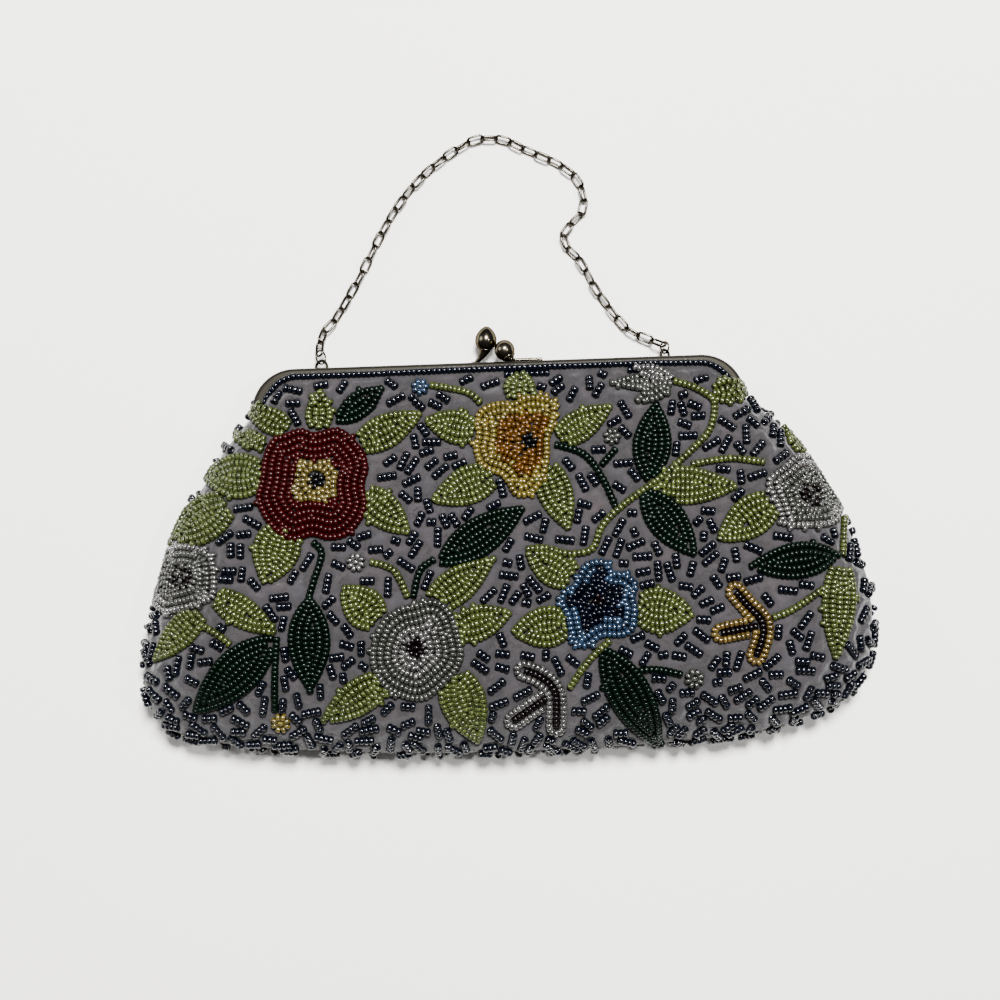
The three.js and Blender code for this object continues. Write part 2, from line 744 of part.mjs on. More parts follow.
// The chain: stretched rings from joint to joint along the route, each turned across the next
function chainJoints() {
  const points = chainRoute.map(({ x, y, z }) => new THREE.Vector3(x, y, z));
  const curve = new THREE.CatmullRomCurve3(points, false, 'centripetal');
  const fine = curve.getSpacedPoints(facets.route);
  const march = (spacing, count) => {
    const joints = [fine[0]];
    let k = 1;
    while (joints.length <= count && k < fine.length) {
      if (fine[k].distanceTo(joints[joints.length - 1]) >= spacing) joints.push(fine[k]);
      k += 1;
    }
    return joints;
  };
  const aim = linkLengthAim - 2 * linkWire + linkBite;
  const count = march(aim, Infinity).length;
  let low = (1 - spacingPlay) * aim;
  let high = (1 + spacingPlay) * aim;
  while (high - low > spacingPrecision) {
    const middle = (low + high) / 2;
    if (march(middle, count).length > count) low = middle;
    else high = middle;
  }
  return march(low, count);
}

function chainSolid() {
  const joints = chainJoints();
  const links = [];
  for (let k = 1; k < joints.length; k += 1) {
    const from = joints[k - 1];
    const to = joints[k];
    const along = to.clone().sub(from).normalize();
    const ringRadius = (linkWidth - linkWire) / 2;
    const ring = new THREE.TorusGeometry(ringRadius, linkWire / 2, facets.linkSides, facets.link);
    const length = from.distanceTo(to) + 2 * linkWire - linkBite;
    const stretch = length / 2 - ringRadius - linkWire / 2;
    const position = ring.attributes.position;
    for (let v = 0; v < position.count; v += 1) {
      position.setX(v, position.getX(v) + Math.sign(position.getX(v)) * stretch);
    }
    const roll = radians((k % 2 ? 1 : -1) * linkRoll
      + linkRollSway * Math.sin(2 * Math.PI * k / linkSwayEvery));
    const across = new THREE.Vector3(-along.y, along.x, 0).normalize();
    const above = along.clone().cross(across);
    const side = across.clone().multiplyScalar(Math.cos(roll)).addScaledVector(above, Math.sin(roll));
    const face = along.clone().cross(side);
    const place = new THREE.Matrix4().makeBasis(along, side, face);
    place.setPosition(from.clone().lerp(to, 0.5));
    links.push(solidOf(ring.applyMatrix4(place)));
  }
  return mainBody(wasm.Manifold.union(links));
}

// The two panels: each wall is cleared from the arms that it covers
function panelSolid(side) {
  const towards = side === 'front' ? 1 : -1;
  const room = [
    [-cutReach, -armRoom],
    [farFace + clearance, -armRoom],
    [farFace + clearance, frameFace + clearance],
    [-cutReach, frameFace + clearance],
  ];
  let wall = solidOf(panelGeometry(side));
  for (const arm of [-1, 1]) {
    wall = wall.subtract(solidOf(sweep(sectionOf(room, towards), armStations(arm))));
  }
  return mainBody(wall);
}

addPiece('back_panel', geometryOf(panelSolid('back')), clothOf());
addPiece('front_panel', geometryOf(panelSolid('front')), clothOf());

const backHalf = [leftEar, rightEar].reduce((half, ear) => half.add(earSolid(ear)), frameHalf(-1));
addPiece('frame_back', geometryOf(backHalf), metalOf());
addPiece('frame_front', geometryOf(frameHalf(1)), metalOf());
addPiece('hinge_rivet_left', hingeRivet(-1), metalOf());
addPiece('hinge_rivet_right', hingeRivet(1), metalOf());

for (const knob of knobs) addPiece(knob.name, geometryOf(knobSolid(knob)), metalOf());

addPiece('jump_ring_left', jumpRing(leftEar), metalOf());
addPiece('jump_ring_right', jumpRing(rightEar), metalOf());
addPiece('chain', geometryOf(chainSolid()), metalOf());

// The origin is the bottom centre of the whole object
const box = new THREE.Box3().setFromObject(bag);
const middle = box.getCenter(new THREE.Vector3());
bag.position.set(-middle.x, -middle.y, -box.min.z);
bag.updateMatrixWorld(true);

export default bag;
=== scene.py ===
"""The looks of a beaded evening purse: its cloth, seed beads, clasp frame and chain.

Lengths in the tables are millimetres unless a comment says otherwise. x runs to the right and
down runs from the top of the clasp frame towards the bottom of the bag.
"""

import math

import bpy
import numpy as np
from bpy.props import FloatProperty, FloatVectorProperty, IntProperty, PointerProperty
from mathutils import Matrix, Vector, kdtree, noise
from mathutils.bvhtree import BVHTree


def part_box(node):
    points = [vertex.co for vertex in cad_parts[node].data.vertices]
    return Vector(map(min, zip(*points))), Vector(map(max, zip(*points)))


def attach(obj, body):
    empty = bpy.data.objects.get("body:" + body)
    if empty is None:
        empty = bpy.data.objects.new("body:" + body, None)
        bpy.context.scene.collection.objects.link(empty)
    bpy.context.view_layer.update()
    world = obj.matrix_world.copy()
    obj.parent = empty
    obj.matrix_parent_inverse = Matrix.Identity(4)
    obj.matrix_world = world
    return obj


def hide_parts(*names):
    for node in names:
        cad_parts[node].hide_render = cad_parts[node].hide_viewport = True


bl_info = {
    "name": "Beaded Purse",
    "version": (1, 0, 0),
    "blender": (4, 5, 0),
    "location": "View3D > Sidebar > Purse",
    "description": "Makes the cloth, beads, clasp and chain of an evening purse",
    "category": "Object",
}

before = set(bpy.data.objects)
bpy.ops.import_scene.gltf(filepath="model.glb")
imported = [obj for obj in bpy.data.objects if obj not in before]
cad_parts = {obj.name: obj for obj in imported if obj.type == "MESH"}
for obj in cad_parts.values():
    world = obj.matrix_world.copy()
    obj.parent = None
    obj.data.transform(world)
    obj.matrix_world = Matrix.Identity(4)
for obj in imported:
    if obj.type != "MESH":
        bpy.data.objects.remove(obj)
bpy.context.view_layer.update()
BODY = "root"
MM = 0.001
SEED = 11

# The purse's place in the row frame: the top of the clasp frame, and its middle
FRAME_LOW, FRAME_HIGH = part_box("frame_front")
MIDDLE_X = (FRAME_LOW.x + FRAME_HIGH.x) / 2 / MM
TOP_Y = FRAME_HIGH.y / MM

# Sizes that the solids have too
BAG_HEIGHT = 122.0
BAG_HALF_WIDTH = 114.0
FRAME_HALF_WIDTH = 76.4
CORNER_RADIUS = 13.5
CORNER_CENTRE = FRAME_HALF_WIDTH - CORNER_RADIUS
FRAME_FACE = 4.2
FRAME_HALF_DEPTH = 4.45
FRAME_METAL = 0.9
FRAME_ROUNDING = 1.3
CLEARANCE = 0.3
MOUTH_ROOM = 0.48
MID_HEIGHT = 7.7
CROWN_RISE = 17.6
BOTTOM_SEAM_HEIGHT = 9.0
FRONT_ROLL = 30.0
BACK_ROLL = 19.0
FOLD_DEPTH = 1.6
HINGE_DOWN = 27.0
SLOT_TOP = FRAME_HALF_DEPTH / 2 + 1.0
GRIP_END = 60.0
MOUTH_DOWN = FRAME_FACE + MOUTH_ROOM
LIP_RADIUS = CORNER_RADIUS - MOUTH_DOWN
SHOULDER_DOWN = 12.57
FRONT_FACE = MID_HEIGHT + CLEARANCE / 2 + FRAME_HALF_DEPTH

# How the cloth lies within the solids' outer faces, and how it rolls over the frame's lip
FRONT_TUCK = 1.1
BACK_TUCK = 2.15
LIP_LIFT = 3.0
LIP_FADE = 15.0
BEAD_SINK = 0.14
# How near beads may lie to each other, as a share of where two of them would touch
ROW_ROOM = 0.72
FILL_ROOM = 0.66
# Rows lie this share of a bead's width apart
ROW_STEP = 1.02
# How far the widest place of a leaf leans to its base, and how full its sides are
LEAF_LEAN = 0.86
LEAF_FULLNESS = 0.82
BROAD_BASE = 0.16
# How near the middle of a group of ground beads, and its beads, may come to other beads
GROUND_START = 1.5
STEEP_SHARE = 0.05
MOTIF_ROOM = 0.96

# The sewn edge down each side: down is a share of the bag's height, left and right are shares of
# the bag's flare beyond the frame
SIDES = (
    # down, left, right
    (0.078, -0.012, -0.012),
    (0.103, 0.012, 0.027),
    (0.130, 0.084, 0.127),
    (0.160, 0.172, 0.251),
    (0.197, 0.269, 0.348),
    (0.254, 0.382, 0.491),
    (0.328, 0.551, 0.633),
    (0.410, 0.697, 0.788),
    (0.492, 0.779, 0.897),
    (0.574, 0.864, 0.982),
    (0.656, 0.945, 1.012),
    (0.738, 0.988, 1.009),
    (0.800, 0.991, 0.958),
    (0.852, 0.939, 0.867),
)
# The sewn edge along the bottom: left and right are shares of the bag's half width
BOTTOM = (
    # down, left, right
    (0.898, 0.943, 0.905),
    (0.934, 0.878, 0.818),
    (0.962, 0.722, 0.718),
    (0.982, 0.500, 0.560),
    (0.996, 0.250, 0.290),
    (1.000, 0.000, 0.000),
)
EDGE_STEPS = 6
POINTS_AT_ONCE = 8192
# The fullness of the bag down its middle, as shares of the height, crown and rounded edge
RISE, ROLL = 1, 2
FULLNESS = np.array((
    # down, rise, roll
    (0.10, 0.00, 0.22),
    (0.14, 0.10, 0.30),
    (0.20, 0.26, 0.46),
    (0.30, 0.50, 0.72),
    (0.42, 0.74, 0.95),
    (0.55, 0.93, 1.00),
    (0.68, 1.00, 0.98),
    (0.80, 0.95, 0.90),
    (0.90, 0.84, 0.80),
    (1.00, 0.70, 0.74),
))
TABLE_SMOOTHING = 0.4
# Soft folds and hollows, as shares of the bag's size, with their lean in degrees
FOLDS = (
    # across, down, long, wide, deep, turn
    (-0.46, 0.17, 0.15, 0.075, 0.55, 24),
    (-0.16, 0.15, 0.14, 0.070, 0.50, 8),
    (0.20, 0.15, 0.14, 0.070, 0.55, -10),
    (0.50, 0.19, 0.16, 0.075, 0.60, -26),
    (0.60, 0.47, 0.16, 0.075, 0.70, 62),
    (0.74, 0.66, 0.17, 0.075, 0.70, 40),
    (-0.86, 0.84, 0.13, 0.070, 1.00, 52),
    (0.30, 0.72, 0.20, 0.080, -0.45, 80),
    (-0.34, 0.62, 0.24, 0.090, -0.55, 75),
    (-0.62, 0.48, 0.16, 0.075, 0.50, -50),
)
# The bead row along the frame: its distance from the frame's outer edge. at is x along the top,
# and beyond the straight it goes on as degrees round the corner.
EDGE_ROW = np.array((
    # at, inwards
    (-CORNER_CENTRE - 80, 3.7),
    (-CORNER_CENTRE - 45, 3.7),
    (-CORNER_CENTRE - 15, 2.9),
    (-CORNER_CENTRE, 2.5),
    (-40.0, 2.5),
    (-12.0, 2.2),
    (15.0, 2.1),
    (47.0, 2.1),
    (CORNER_CENTRE, 2.5),
    (CORNER_CENTRE + 20, 2.8),
    (CORNER_CENTRE + 45, 3.2),
    (CORNER_CENTRE + 80, 3.3),
))

# Parts of the row along the frame: where it starts and ends, and how much further in it lies
EDGE_ROW_PARTS = ((-CORNER_CENTRE - 74, CORNER_CENTRE + 62, 0.0), (2.0, 16.0, 2.0), (40.0, 50.0, 2.0))
EDGE_BEAD_LENGTH = 1.55
EDGE_BEAD_WIDTH = 1.85

# The chart of the beadwork. Its places are pixels of a square picture, 1000 to a side, that looks
# down on the bag, with x to the right and y down. First come the size of a pixel, the pixel that
# the middle of the frame's top edge has, and how far the picture is turned.
CHART_UNIT = 0.31
CHART_ORIGIN = np.array((497.0, 362.0))
CHART_TURN = math.radians(2.0)
# The eye is this high over a place of the plan, so what lies higher than the level looks larger
CHART_EYE = 550.0
CHART_LEVEL = 10.0
CHART_CENTRE = np.array((-0.6, 42.8))
# How often the height under a pixel is looked up anew, and the steps between points of an outline
CHART_ROUNDS = 3
CHART_STEPS = 8

# Each flower: its middle, the radius and colour of its core, its outline, and its colours from the
# inside out, each up to a share of the way to the outline or to an outline of its own
FLOWERS = {
    "red_flower": {
        "centre": (316, 481), "core": 9.0, "core_colour": "jet",
        "outline": ((274, 437), (283, 435), (292, 431), (303, 429), (313, 433), (324, 431), (337, 428),
                    (348, 433), (357, 442), (365, 453), (369, 469), (365, 486), (368, 505), (361, 523),
                    (347, 537), (328, 541), (312, 537), (293, 542), (273, 531), (261, 514), (256, 497),
                    (260, 480), (262, 463), (266, 449)),
        "zones": ((0.40, "olive_gold"), (1.0, "ruby")), "ring": (9.0, 16.5, "olive_gold"),
    },
    "yellow_flower": {
        "centre": (528.8, 441.9), "core": 9.5, "core_colour": "jet",
        "outline": ((479, 410), (488, 404), (501, 400.6), (514, 401), (520, 396), (532, 394), (547, 396),
                    (556, 402), (557, 414), (553, 431), (550, 440), (550, 455), (548, 470), (542, 485),
                    (532, 496), (520, 499), (511, 494), (506, 484), (500, 477), (490, 474), (479, 467),
                    (474, 455), (473, 445), (476, 435), (474, 425), (475, 416)),
        "zones": ((0.60, "amber"), (1.0, "straw")),
    },
    "blue_flower": {
        "centre": (598.8, 600), "core": 7.5, "core_colour": "maroon",
        "outline": ((581, 566), (588, 561), (600, 558.5), (609, 562), (614, 571), (624, 571), (635, 579),
                    (639, 586), (635, 597), (638, 606), (637, 620), (635, 630), (625, 637), (615, 638),
                    (602, 638), (592, 646), (582, 649), (573, 644), (568, 631), (565, 617), (560, 607),
                    (558, 600), (562, 589), (571, 585), (577, 575)),
        "inner": ("navy", ((600, 565), (606, 580), (623, 589), (618, 603), (622, 618), (605, 618),
                           (586, 631), (581, 615), (563, 600), (577, 591), (587, 580))),
        "zones": ((1.0, "sky"),),
    },
    "grey_flower": {
        "centre": (415.6, 647), "core": 10.5, "core_colour": "maroon",
        "outline": ((401, 606), (392, 611), (381, 620), (374, 634), (370, 649), (370, 664), (375, 676),
                    (384, 688), (396, 695), (410, 700), (424, 700), (435, 694), (448, 682), (459, 670),
                    (464, 655), (462, 640), (457, 622), (452, 611), (441, 601), (427, 599), (415, 603)),
        "zones": ((0.56, "silver"), (1.0, "smoke")),
    },
    "silver_flower_left": {
        "centre": (184, 577), "core": 12.5, "core_colour": "maroon",
        "outline": ((169, 549), (181, 544), (195, 545), (206, 549), (215, 557), (218, 572), (218, 589),
                    (215, 600), (205, 605), (195, 609), (181, 613), (166, 615), (157, 607), (154, 597),
                    (156, 585), (157, 571), (162, 559)),
        "zones": ((0.72, "smoke"), (1.0, "silver")),
    },
    "silver_flower_right": {
        "centre": (810, 495), "core": 12.5, "core_colour": "maroon",
        "outline": ((792, 456), (804, 454), (814, 459), (821, 469), (831, 477), (839, 489), (841, 501),
                    (840, 512), (836, 523), (825, 528), (809, 529), (790, 529), (781, 526), (777, 515),
                    (771, 500), (765, 486), (766, 478), (774, 471), (784, 463)),
        "zones": ((0.72, "smoke"), (1.0, "silver")),
    },
}
# Leaves of the chart: base, tip and width
DARK_LEAVES = (
    ((336, 422), (384, 388), 27), ((438, 564), (525, 507), 38), ((648, 482), (656, 402), 38),
    ((642, 490), (696, 557), 38), ((837, 555), (747, 567), 36), ((602, 647), (659, 744), 43),
    ((275, 637), (194, 712), 44), ((309, 598), (310, 691), 42),
)
LIGHT_LEAVES = (
    ((287, 430), (248, 407), 27), ((319, 428), (320, 390), 29), ((265, 447), (236, 434), 15),
    ((261, 476), (205, 478), 45), ((362, 444), (422, 413), 35), ((365, 495), (410, 534), 36),
    ((283, 530), (265, 585), 48), ((227, 505), (168, 548), 45), ((200, 613), (156, 661), 30),
    ((218, 597), (277, 634), 30), ((377, 620), (342, 587), 40), ((433, 603), (494, 559), 36),
    ((457, 630), (512, 612), 35), ((382, 681), (321, 721), 36), ((454, 676), (479, 741), 45),
    ((474, 432), (424, 420), 34), ((491, 476), (431, 502), 38), ((518, 399), (522, 371), 32),
    ((559, 439), (612, 406), 32), ((546, 468), (569, 531), 36), ((571, 578), (525, 548), 38),
    ((566, 624), (511, 632), 40), ((639, 609), (694, 614), 45), ((653, 485), (738, 487), 38),
    ((770, 503), (717, 541), 40), ((714, 394), (753, 388), 25), ((804, 452), (781, 424), 18),
    ((839, 568), (834, 660), 36),
)
# Petals of the bud at the top right
CLEAR_PETALS = (
    ((673, 380), (635, 367), 17, "silver"), ((672, 384), (634, 402), 16, "smoke"),
    ((670, 382), (611, 384), 17, "smoke"),
)
DARK_STEMS = (
    ((435, 559), (420, 571), (413, 598)),
    ((313, 542), (322, 554), (314, 581), (309, 598)),
    ((277, 637), (275, 675), (275, 710)),
    ((554, 445), (584, 455), (602, 478), (616, 508)),
    ((639, 670), (658, 669), (682, 674)),
    ((601, 466), (616, 449)),
)
LIGHT_STEMS = (
    ((673, 382), (695, 388), (712, 398), (714, 414), (707, 434), (679, 462), (653, 483), (622, 506),
     (602, 526), (592, 549), (569, 554), (549, 549)),
    ((691, 465), (730, 459), (764, 463)),
    ((842, 516), (841, 557)),
    ((819, 591), (793, 609), (772, 618)),
    ((610, 640), (589, 660), (569, 688)),
    ((430, 386), (467, 393), (481, 403)),
    ((370, 562), (394, 571), (408, 598)),
    ((193, 620), (217, 634), (231, 645)),
)
# Small round flowers: centre, radius and colour
ROUND_BUDS = (
    ((612, 437), 7.5, "smoke"), ((356, 563), 9.5, "silver"), ((420, 388), 8.0, "sky"),
    ((281, 722), 10.0, "straw"), ((694, 678), 10.0, "smoke"),
)
# Forked buds: lines of dark beads, and the colour of the beads round them
FORKED_BUDS = (
    ("gold", (((735, 592), (748, 607), (761, 621), (762, 637), (756, 655)), ((757, 626), (721, 633)))),
    ("silver", (((524, 670), (541, 677), (555, 692), (556, 725)), ((547, 697), (514, 719)))),
)

# The way that the chain lies, from the left jump ring to the right one, with y up from the frame
CHAIN_ROUTE = (
    (-55.4, 4.4, 6.0), (-55.4, 7.6, 4.8), (-53.9, 12.2, 2.2), (-50.8, 15.3, 1.6), (-46.7, 21.6, 1.6),
    (-42.0, 29.2, 1.6), (-37.8, 37.2, 1.6), (-33.4, 45.0, 1.6), (-28.3, 52.4, 1.6), (-20.9, 60.4, 1.6),
    (-12.6, 66.6, 1.6), (-4.2, 70.9, 1.6), (4.2, 70.6, 1.6), (11.4, 67.0, 1.6), (19.6, 63.2, 1.6),
    (26.2, 58.6, 1.6), (29.2, 51.6, 1.6), (27.4, 45.0, 1.6), (22.6, 41.8, 1.6), (22.4, 37.2, 1.6),
    (27.2, 31.6, 1.6), (31.6, 22.8, 1.6), (36.6, 15.4, 1.6), (41.6, 9.2, 2.2), (49.0, 5.5, 3.1),
    (52.6, 3.9, 4.6),
)
LINK_WIDTH = 3.3
LINK_WIRE = 0.8
LINK_LENGTH_AIM = 5.95
LINK_BITE = 0.2
LINK_ROLL = -45.0
LINK_ROLL_SWAY = 14.0
LINK_SWAY_EVERY = 11
# How closely the spacing of the links is worked out
SPACING_SLACK = 0.0005
# The ear at each end of the chain and the ring that hangs in it: place, arch, leg and ring radius
EARS = {
    -1: {"x": -54.9, "radius": 2.3, "leg": 0.35, "ring": 2.1},
    1: {"x": 52.5, "radius": 1.6, "leg": 0.72, "ring": 1.8},
}
EAR_WIRE = 0.9
EAR_TURN = 35.0
RING_WIRE = 0.6
RING_TURN = -52.0

# The two knobs: which half each stands on, the places of its foot, bend, cup and ball over the top,
# the ball's level from the frame's middle, its length as a share of a round one, its radius, and the
# length of the strip beside its foot
KNOBS = {
    "clasp_knob_back": {
        "towards": -1, "foot": (-6.9, 0.2), "bend": (-4.9, 2.2), "cup": (-3.5, 4.5),
        "ball": (-3.25, 7.1), "level": -1.0, "long": 1.3, "radius": 3.4, "strip": 0.0,
    },
    "clasp_knob_front": {
        "towards": 1, "foot": (4.7, 0.1), "bend": (4.4, 0.6), "cup": (3.9, 1.3),
        "ball": (2.4, 3.7), "level": 1.2, "long": 1.0, "radius": 3.2, "strip": 9.4,
    },
}


class PurseSizes(bpy.types.PropertyGroup):
    """Sizes of the beads and of the cloth's surface."""

    bead_length: FloatProperty(
        name="Bead length", description="Along the thread, in flowers and leaves",
        default=0.00142, min=0.0005, unit="LENGTH")
    bead_width: FloatProperty(
        name="Bead width", description="Across the thread, in flowers and leaves",
        default=0.00212, min=0.0005, unit="LENGTH")
    ground_length: FloatProperty(
        name="Ground bead length", description="Along the thread, in the small groups",
        default=0.00148, min=0.0005, unit="LENGTH")
    ground_width: FloatProperty(
        name="Ground bead width", description="Across the thread, in the small groups",
        default=0.00232, min=0.0005, unit="LENGTH")
    group_gap: FloatProperty(
        name="Group gap", description="Least distance between beads of two groups",
        default=0.00258, min=0.002, unit="LENGTH")
    group_tries: IntProperty(
        name="Group tries", description="How often a place for a group is tried", default=32000, min=100)
    pucker: FloatProperty(
        name="Pucker", description="How deep a stitch draws the cloth in",
        default=0.00008, min=0.0, unit="LENGTH")
    wrinkle: FloatProperty(
        name="Wrinkle", description="How high the cloth stands between the stitches",
        default=0.0021, min=0.0, unit="LENGTH")
    thread: FloatProperty(
        name="Thread", description="Pitch of the cloth's plain weave",
        default=0.00042, min=0.0001, unit="LENGTH")
    cloth_columns: IntProperty(
        name="Cloth columns", description="Columns of faces across the front", default=300, min=40)
    cloth_rows: IntProperty(
        name="Cloth rows", description="Rows of faces down the front", default=180, min=30)


def bead_colour(name, description, colour):
    return FloatVectorProperty(
        name=name, description=description, subtype="COLOR", size=3, min=0.0, max=1.0, default=colour)


class PurseColours(bpy.types.PropertyGroup):
    """Colours of the beads, the cloth and the metal."""

    cloth: bead_colour("Cloth", "Grey-mauve ground", (0.0190, 0.0153, 0.0176))
    hematite: bead_colour("Hematite", "Blue-black beads of the ground", (0.0012, 0.0018, 0.0045))
    edge_dark: bead_colour("Edge dark", "Blue-black beads along the frame", (0.0012, 0.0018, 0.0045))
    ruby: bead_colour("Ruby", "Red flower", (0.0165, 0.0, 0.0002))
    olive_gold: bead_colour("Olive gold", "Ring of the red flower", (0.048, 0.036, 0.008))
    jet: bead_colour("Jet", "Dark middles", (0.0006, 0.0006, 0.0010))
    straw: bead_colour("Straw", "Outside of the yellow flower", (0.054, 0.041, 0.0070))
    amber: bead_colour("Amber", "Inside of the yellow flower", (0.035, 0.0130, 0.0003))
    sky: bead_colour("Sky", "Outside of the blue flower", (0.0062, 0.0135, 0.0265))
    navy: bead_colour("Navy", "Inside of the blue flower", (0.0002, 0.0007, 0.0028))
    smoke: bead_colour("Smoke", "Dark grey beads", (0.0195, 0.0200, 0.0172))
    silver: bead_colour("Silver", "Clear beads with a silver lining", (0.035, 0.034, 0.032))
    maroon: bead_colour("Maroon", "Maroon middles and forks", (0.0016, 0.0005, 0.0008))
    gold: bead_colour("Gold", "Beads round the fork", (0.048, 0.031, 0.007))
    leaf_light: bead_colour("Light leaf", "Light green beads", (0.0225, 0.0285, 0.0065))
    leaf_dark: bead_colour("Dark leaf", "Dark green beads", (0.0001, 0.0027, 0.0011))
    gunmetal: bead_colour("Gunmetal", "Satin metal of the frame", (0.016, 0.0145, 0.0115))
    knobs: bead_colour("Knobs", "Polished metal of the knobs", (0.085, 0.074, 0.053))
    chain: bead_colour("Chain", "Chain and rings", (0.060, 0.054, 0.043))
    floor: bead_colour("Floor", "Pale floor", (0.93, 0.91, 0.87))


def purse_sizes():
    return bpy.context.scene.purse_sizes


def purse_colours():
    return bpy.context.scene.purse_colours


# Arithmetic of surfaces


def lerp(low, high, share):
    return low + (high - low) * share


def smooth(value, start, end):
    share = np.clip((value - start) / (end - start), 0.0, 1.0)
    return share * share * (3 - 2 * share)


def unit(vectors):
    return vectors / np.maximum(np.linalg.norm(vectors, axis=-1, keepdims=True), 1e-9)


def arc(start, end, count):
    """Points of a circle of radius 1, from one angle to another in degrees."""
    angle = np.radians(np.linspace(start, end, count))
    return np.stack((np.cos(angle), np.sin(angle)), axis=-1)


def circle(count):
    """Points all the way round a circle of radius 1."""
    return arc(0, 360, count + 1)[:-1]


def bend(start, end, leaving, arriving, share):
    """Places on a cubic curve between two points, from the way that it leaves and arrives."""
    cube = 2 * (start - end) + leaving + arriving
    square = 3 * (end - start) - 2 * leaving - arriving
    return cube * share**3 + square * share**2 + leaving * share + start


def spline(points, steps, closed=False):
    """A smooth line through points, with this many steps from each to the next."""
    points = np.asarray(points, float)
    count = len(points)
    last = count if closed else count - 1
    t = np.linspace(0, last, last * steps + 1)
    k = np.minimum(t.astype(int), last - 1)
    near = [k + shift for shift in (-1, 0, 1, 2)]
    p0, p1, p2, p3 = (points[each % count if closed else np.clip(each, 0, last)] for each in near)
    return bend(p1, p2, (p2 - p0) / 2, (p3 - p1) / 2, (t - k)[:, None])


def lengths_along(line):
    return np.concatenate(((0,), np.cumsum(np.linalg.norm(np.diff(line, axis=0), axis=1))))


def points_along(line, shares):
    lengths = lengths_along(line)
    at = np.asarray(shares) * lengths[-1]
    return np.stack([np.interp(at, lengths, line[:, axis]) for axis in range(line.shape[1])], axis=-1)


def side_line(sign, column):
    """The sewn edge down one side and on to the middle of the bottom, from a column of the tables."""
    reach = [lerp(FRAME_HALF_WIDTH, BAG_HALF_WIDTH, row[column]) for row in SIDES]
    reach += [row[column] * BAG_HALF_WIDTH for row in BOTTOM]
    down = [row[0] * BAG_HEIGHT for row in SIDES + BOTTOM]
    return spline(np.stack((sign * np.array(reach), down), axis=-1), EDGE_STEPS)


SEWN_LINE = np.concatenate((side_line(-1, 1), side_line(1, 2)[::-1][1:]))
LEFT_CORNER = (len(SIDES) - 1) * EDGE_STEPS
RIGHT_CORNER = len(SEWN_LINE) - 1 - LEFT_CORNER


def inset_line(line, inset):
    along = unit(np.gradient(line, axis=0))
    return line + inset * np.stack((along[:, 1], -along[:, 0]), axis=-1)


def distance_to_sewn(plan):
    """How far each point lies inside the sewn edge. It is below zero outside."""
    a, b = SEWN_LINE[:-1], SEWN_LINE[1:]
    ab = b - a
    found = []
    for part in np.array_split(plan, len(plan) // POINTS_AT_ONCE + 1):
        part = part[:, None, :]
        share = np.clip(((part - a) * ab).sum(-1) / (ab * ab).sum(-1), 0, 1)[..., None]
        gap = part - a - share * ab
        away = np.linalg.norm(gap, axis=-1)
        nearest = away.argmin(axis=1)
        rows = np.arange(len(nearest))
        across = gap[rows, nearest, 0] * ab[nearest, 1] - gap[rows, nearest, 1] * ab[nearest, 0]
        found.append(away[rows, nearest] * np.where(across < 0, -1, 1))
    return np.concatenate(found)


def fullness(column, down):
    share = down / BAG_HEIGHT
    table = FULLNESS
    k = np.clip(np.searchsorted(table[:, 0], share) - 1, 0, len(table) - 2)
    part = np.clip((share - table[k, 0]) / (table[k + 1, 0] - table[k, 0]), 0, 1)
    part = lerp(part, smooth(part, 0, 1), TABLE_SMOOTHING)
    return lerp(table[k, column], table[k + 1, column], part)


def seam_height(down):
    return lerp(MID_HEIGHT, BOTTOM_SEAM_HEIGHT, smooth(down, HINGE_DOWN, BAG_HEIGHT))


def past_mouth(plan):
    """How far down from the frame's outer edge each point lies, measured round the corners."""
    x, down = plan[:, 0], plan[:, 1]
    across = np.maximum(np.abs(x) - CORNER_CENTRE, 0)
    up = np.maximum(CORNER_RADIUS - down, 0)
    bend = CORNER_RADIUS - np.hypot(across, up)
    angle = np.degrees(np.arctan2(across, up))
    inwards = lerp(np.maximum(bend, MOUTH_DOWN), down, smooth(angle, GRIP_END / 2, GRIP_END))
    return np.where(up > 0, inwards, down)


def fold_depth(plan, out):
    depth = np.zeros(len(plan))
    for across, down, long, wide, deep, turn in FOLDS:
        dx = plan[:, 0] - across * BAG_HALF_WIDTH
        dy = plan[:, 1] - down * BAG_HEIGHT
        lean = math.radians(turn)
        along = (dy * math.cos(lean) + dx * math.sin(lean)) / (long * BAG_HEIGHT)
        over = (dx * math.cos(lean) - dy * math.sin(lean)) / (wide * BAG_HEIGHT)
        depth += deep * FOLD_DEPTH * np.exp(-along * along - over * over)
    return depth * out


def rounded(share):
    return np.sqrt(1 - (1 - np.clip(share, 0, 1)) ** 2)


def cloth_height(plan, side):
    """The height of the cloth over each point of the plan, x and down."""
    down = plan[:, 1]
    inwards = past_mouth(plan)
    out = smooth(inwards, MOUTH_DOWN, SHOULDER_DOWN)
    seam = seam_height(down)
    inside = distance_to_sewn(plan)
    if side == "front":
        full = MID_HEIGHT + (CROWN_RISE - MID_HEIGHT) * fullness(RISE, down)
        lift = LIP_LIFT * (1 - smooth(inwards, MOUTH_DOWN, LIP_FADE))
        rise = lerp(SLOT_TOP, full, out) - FRONT_TUCK + lift
        roll = FRONT_ROLL * fullness(ROLL, down) - FRONT_TUCK
        edge = rounded((inside - FRONT_TUCK) / roll)
        return seam + (rise - fold_depth(plan, out) * edge) * edge
    depth = lerp(SLOT_TOP, seam, out) - BACK_TUCK
    roll = BACK_ROLL * fullness(ROLL, down) - BACK_TUCK
    edge = rounded((inside - BACK_TUCK) / roll)
    return seam - depth * edge


def tuck_of(side):
    return FRONT_TUCK if side == "front" else BACK_TUCK


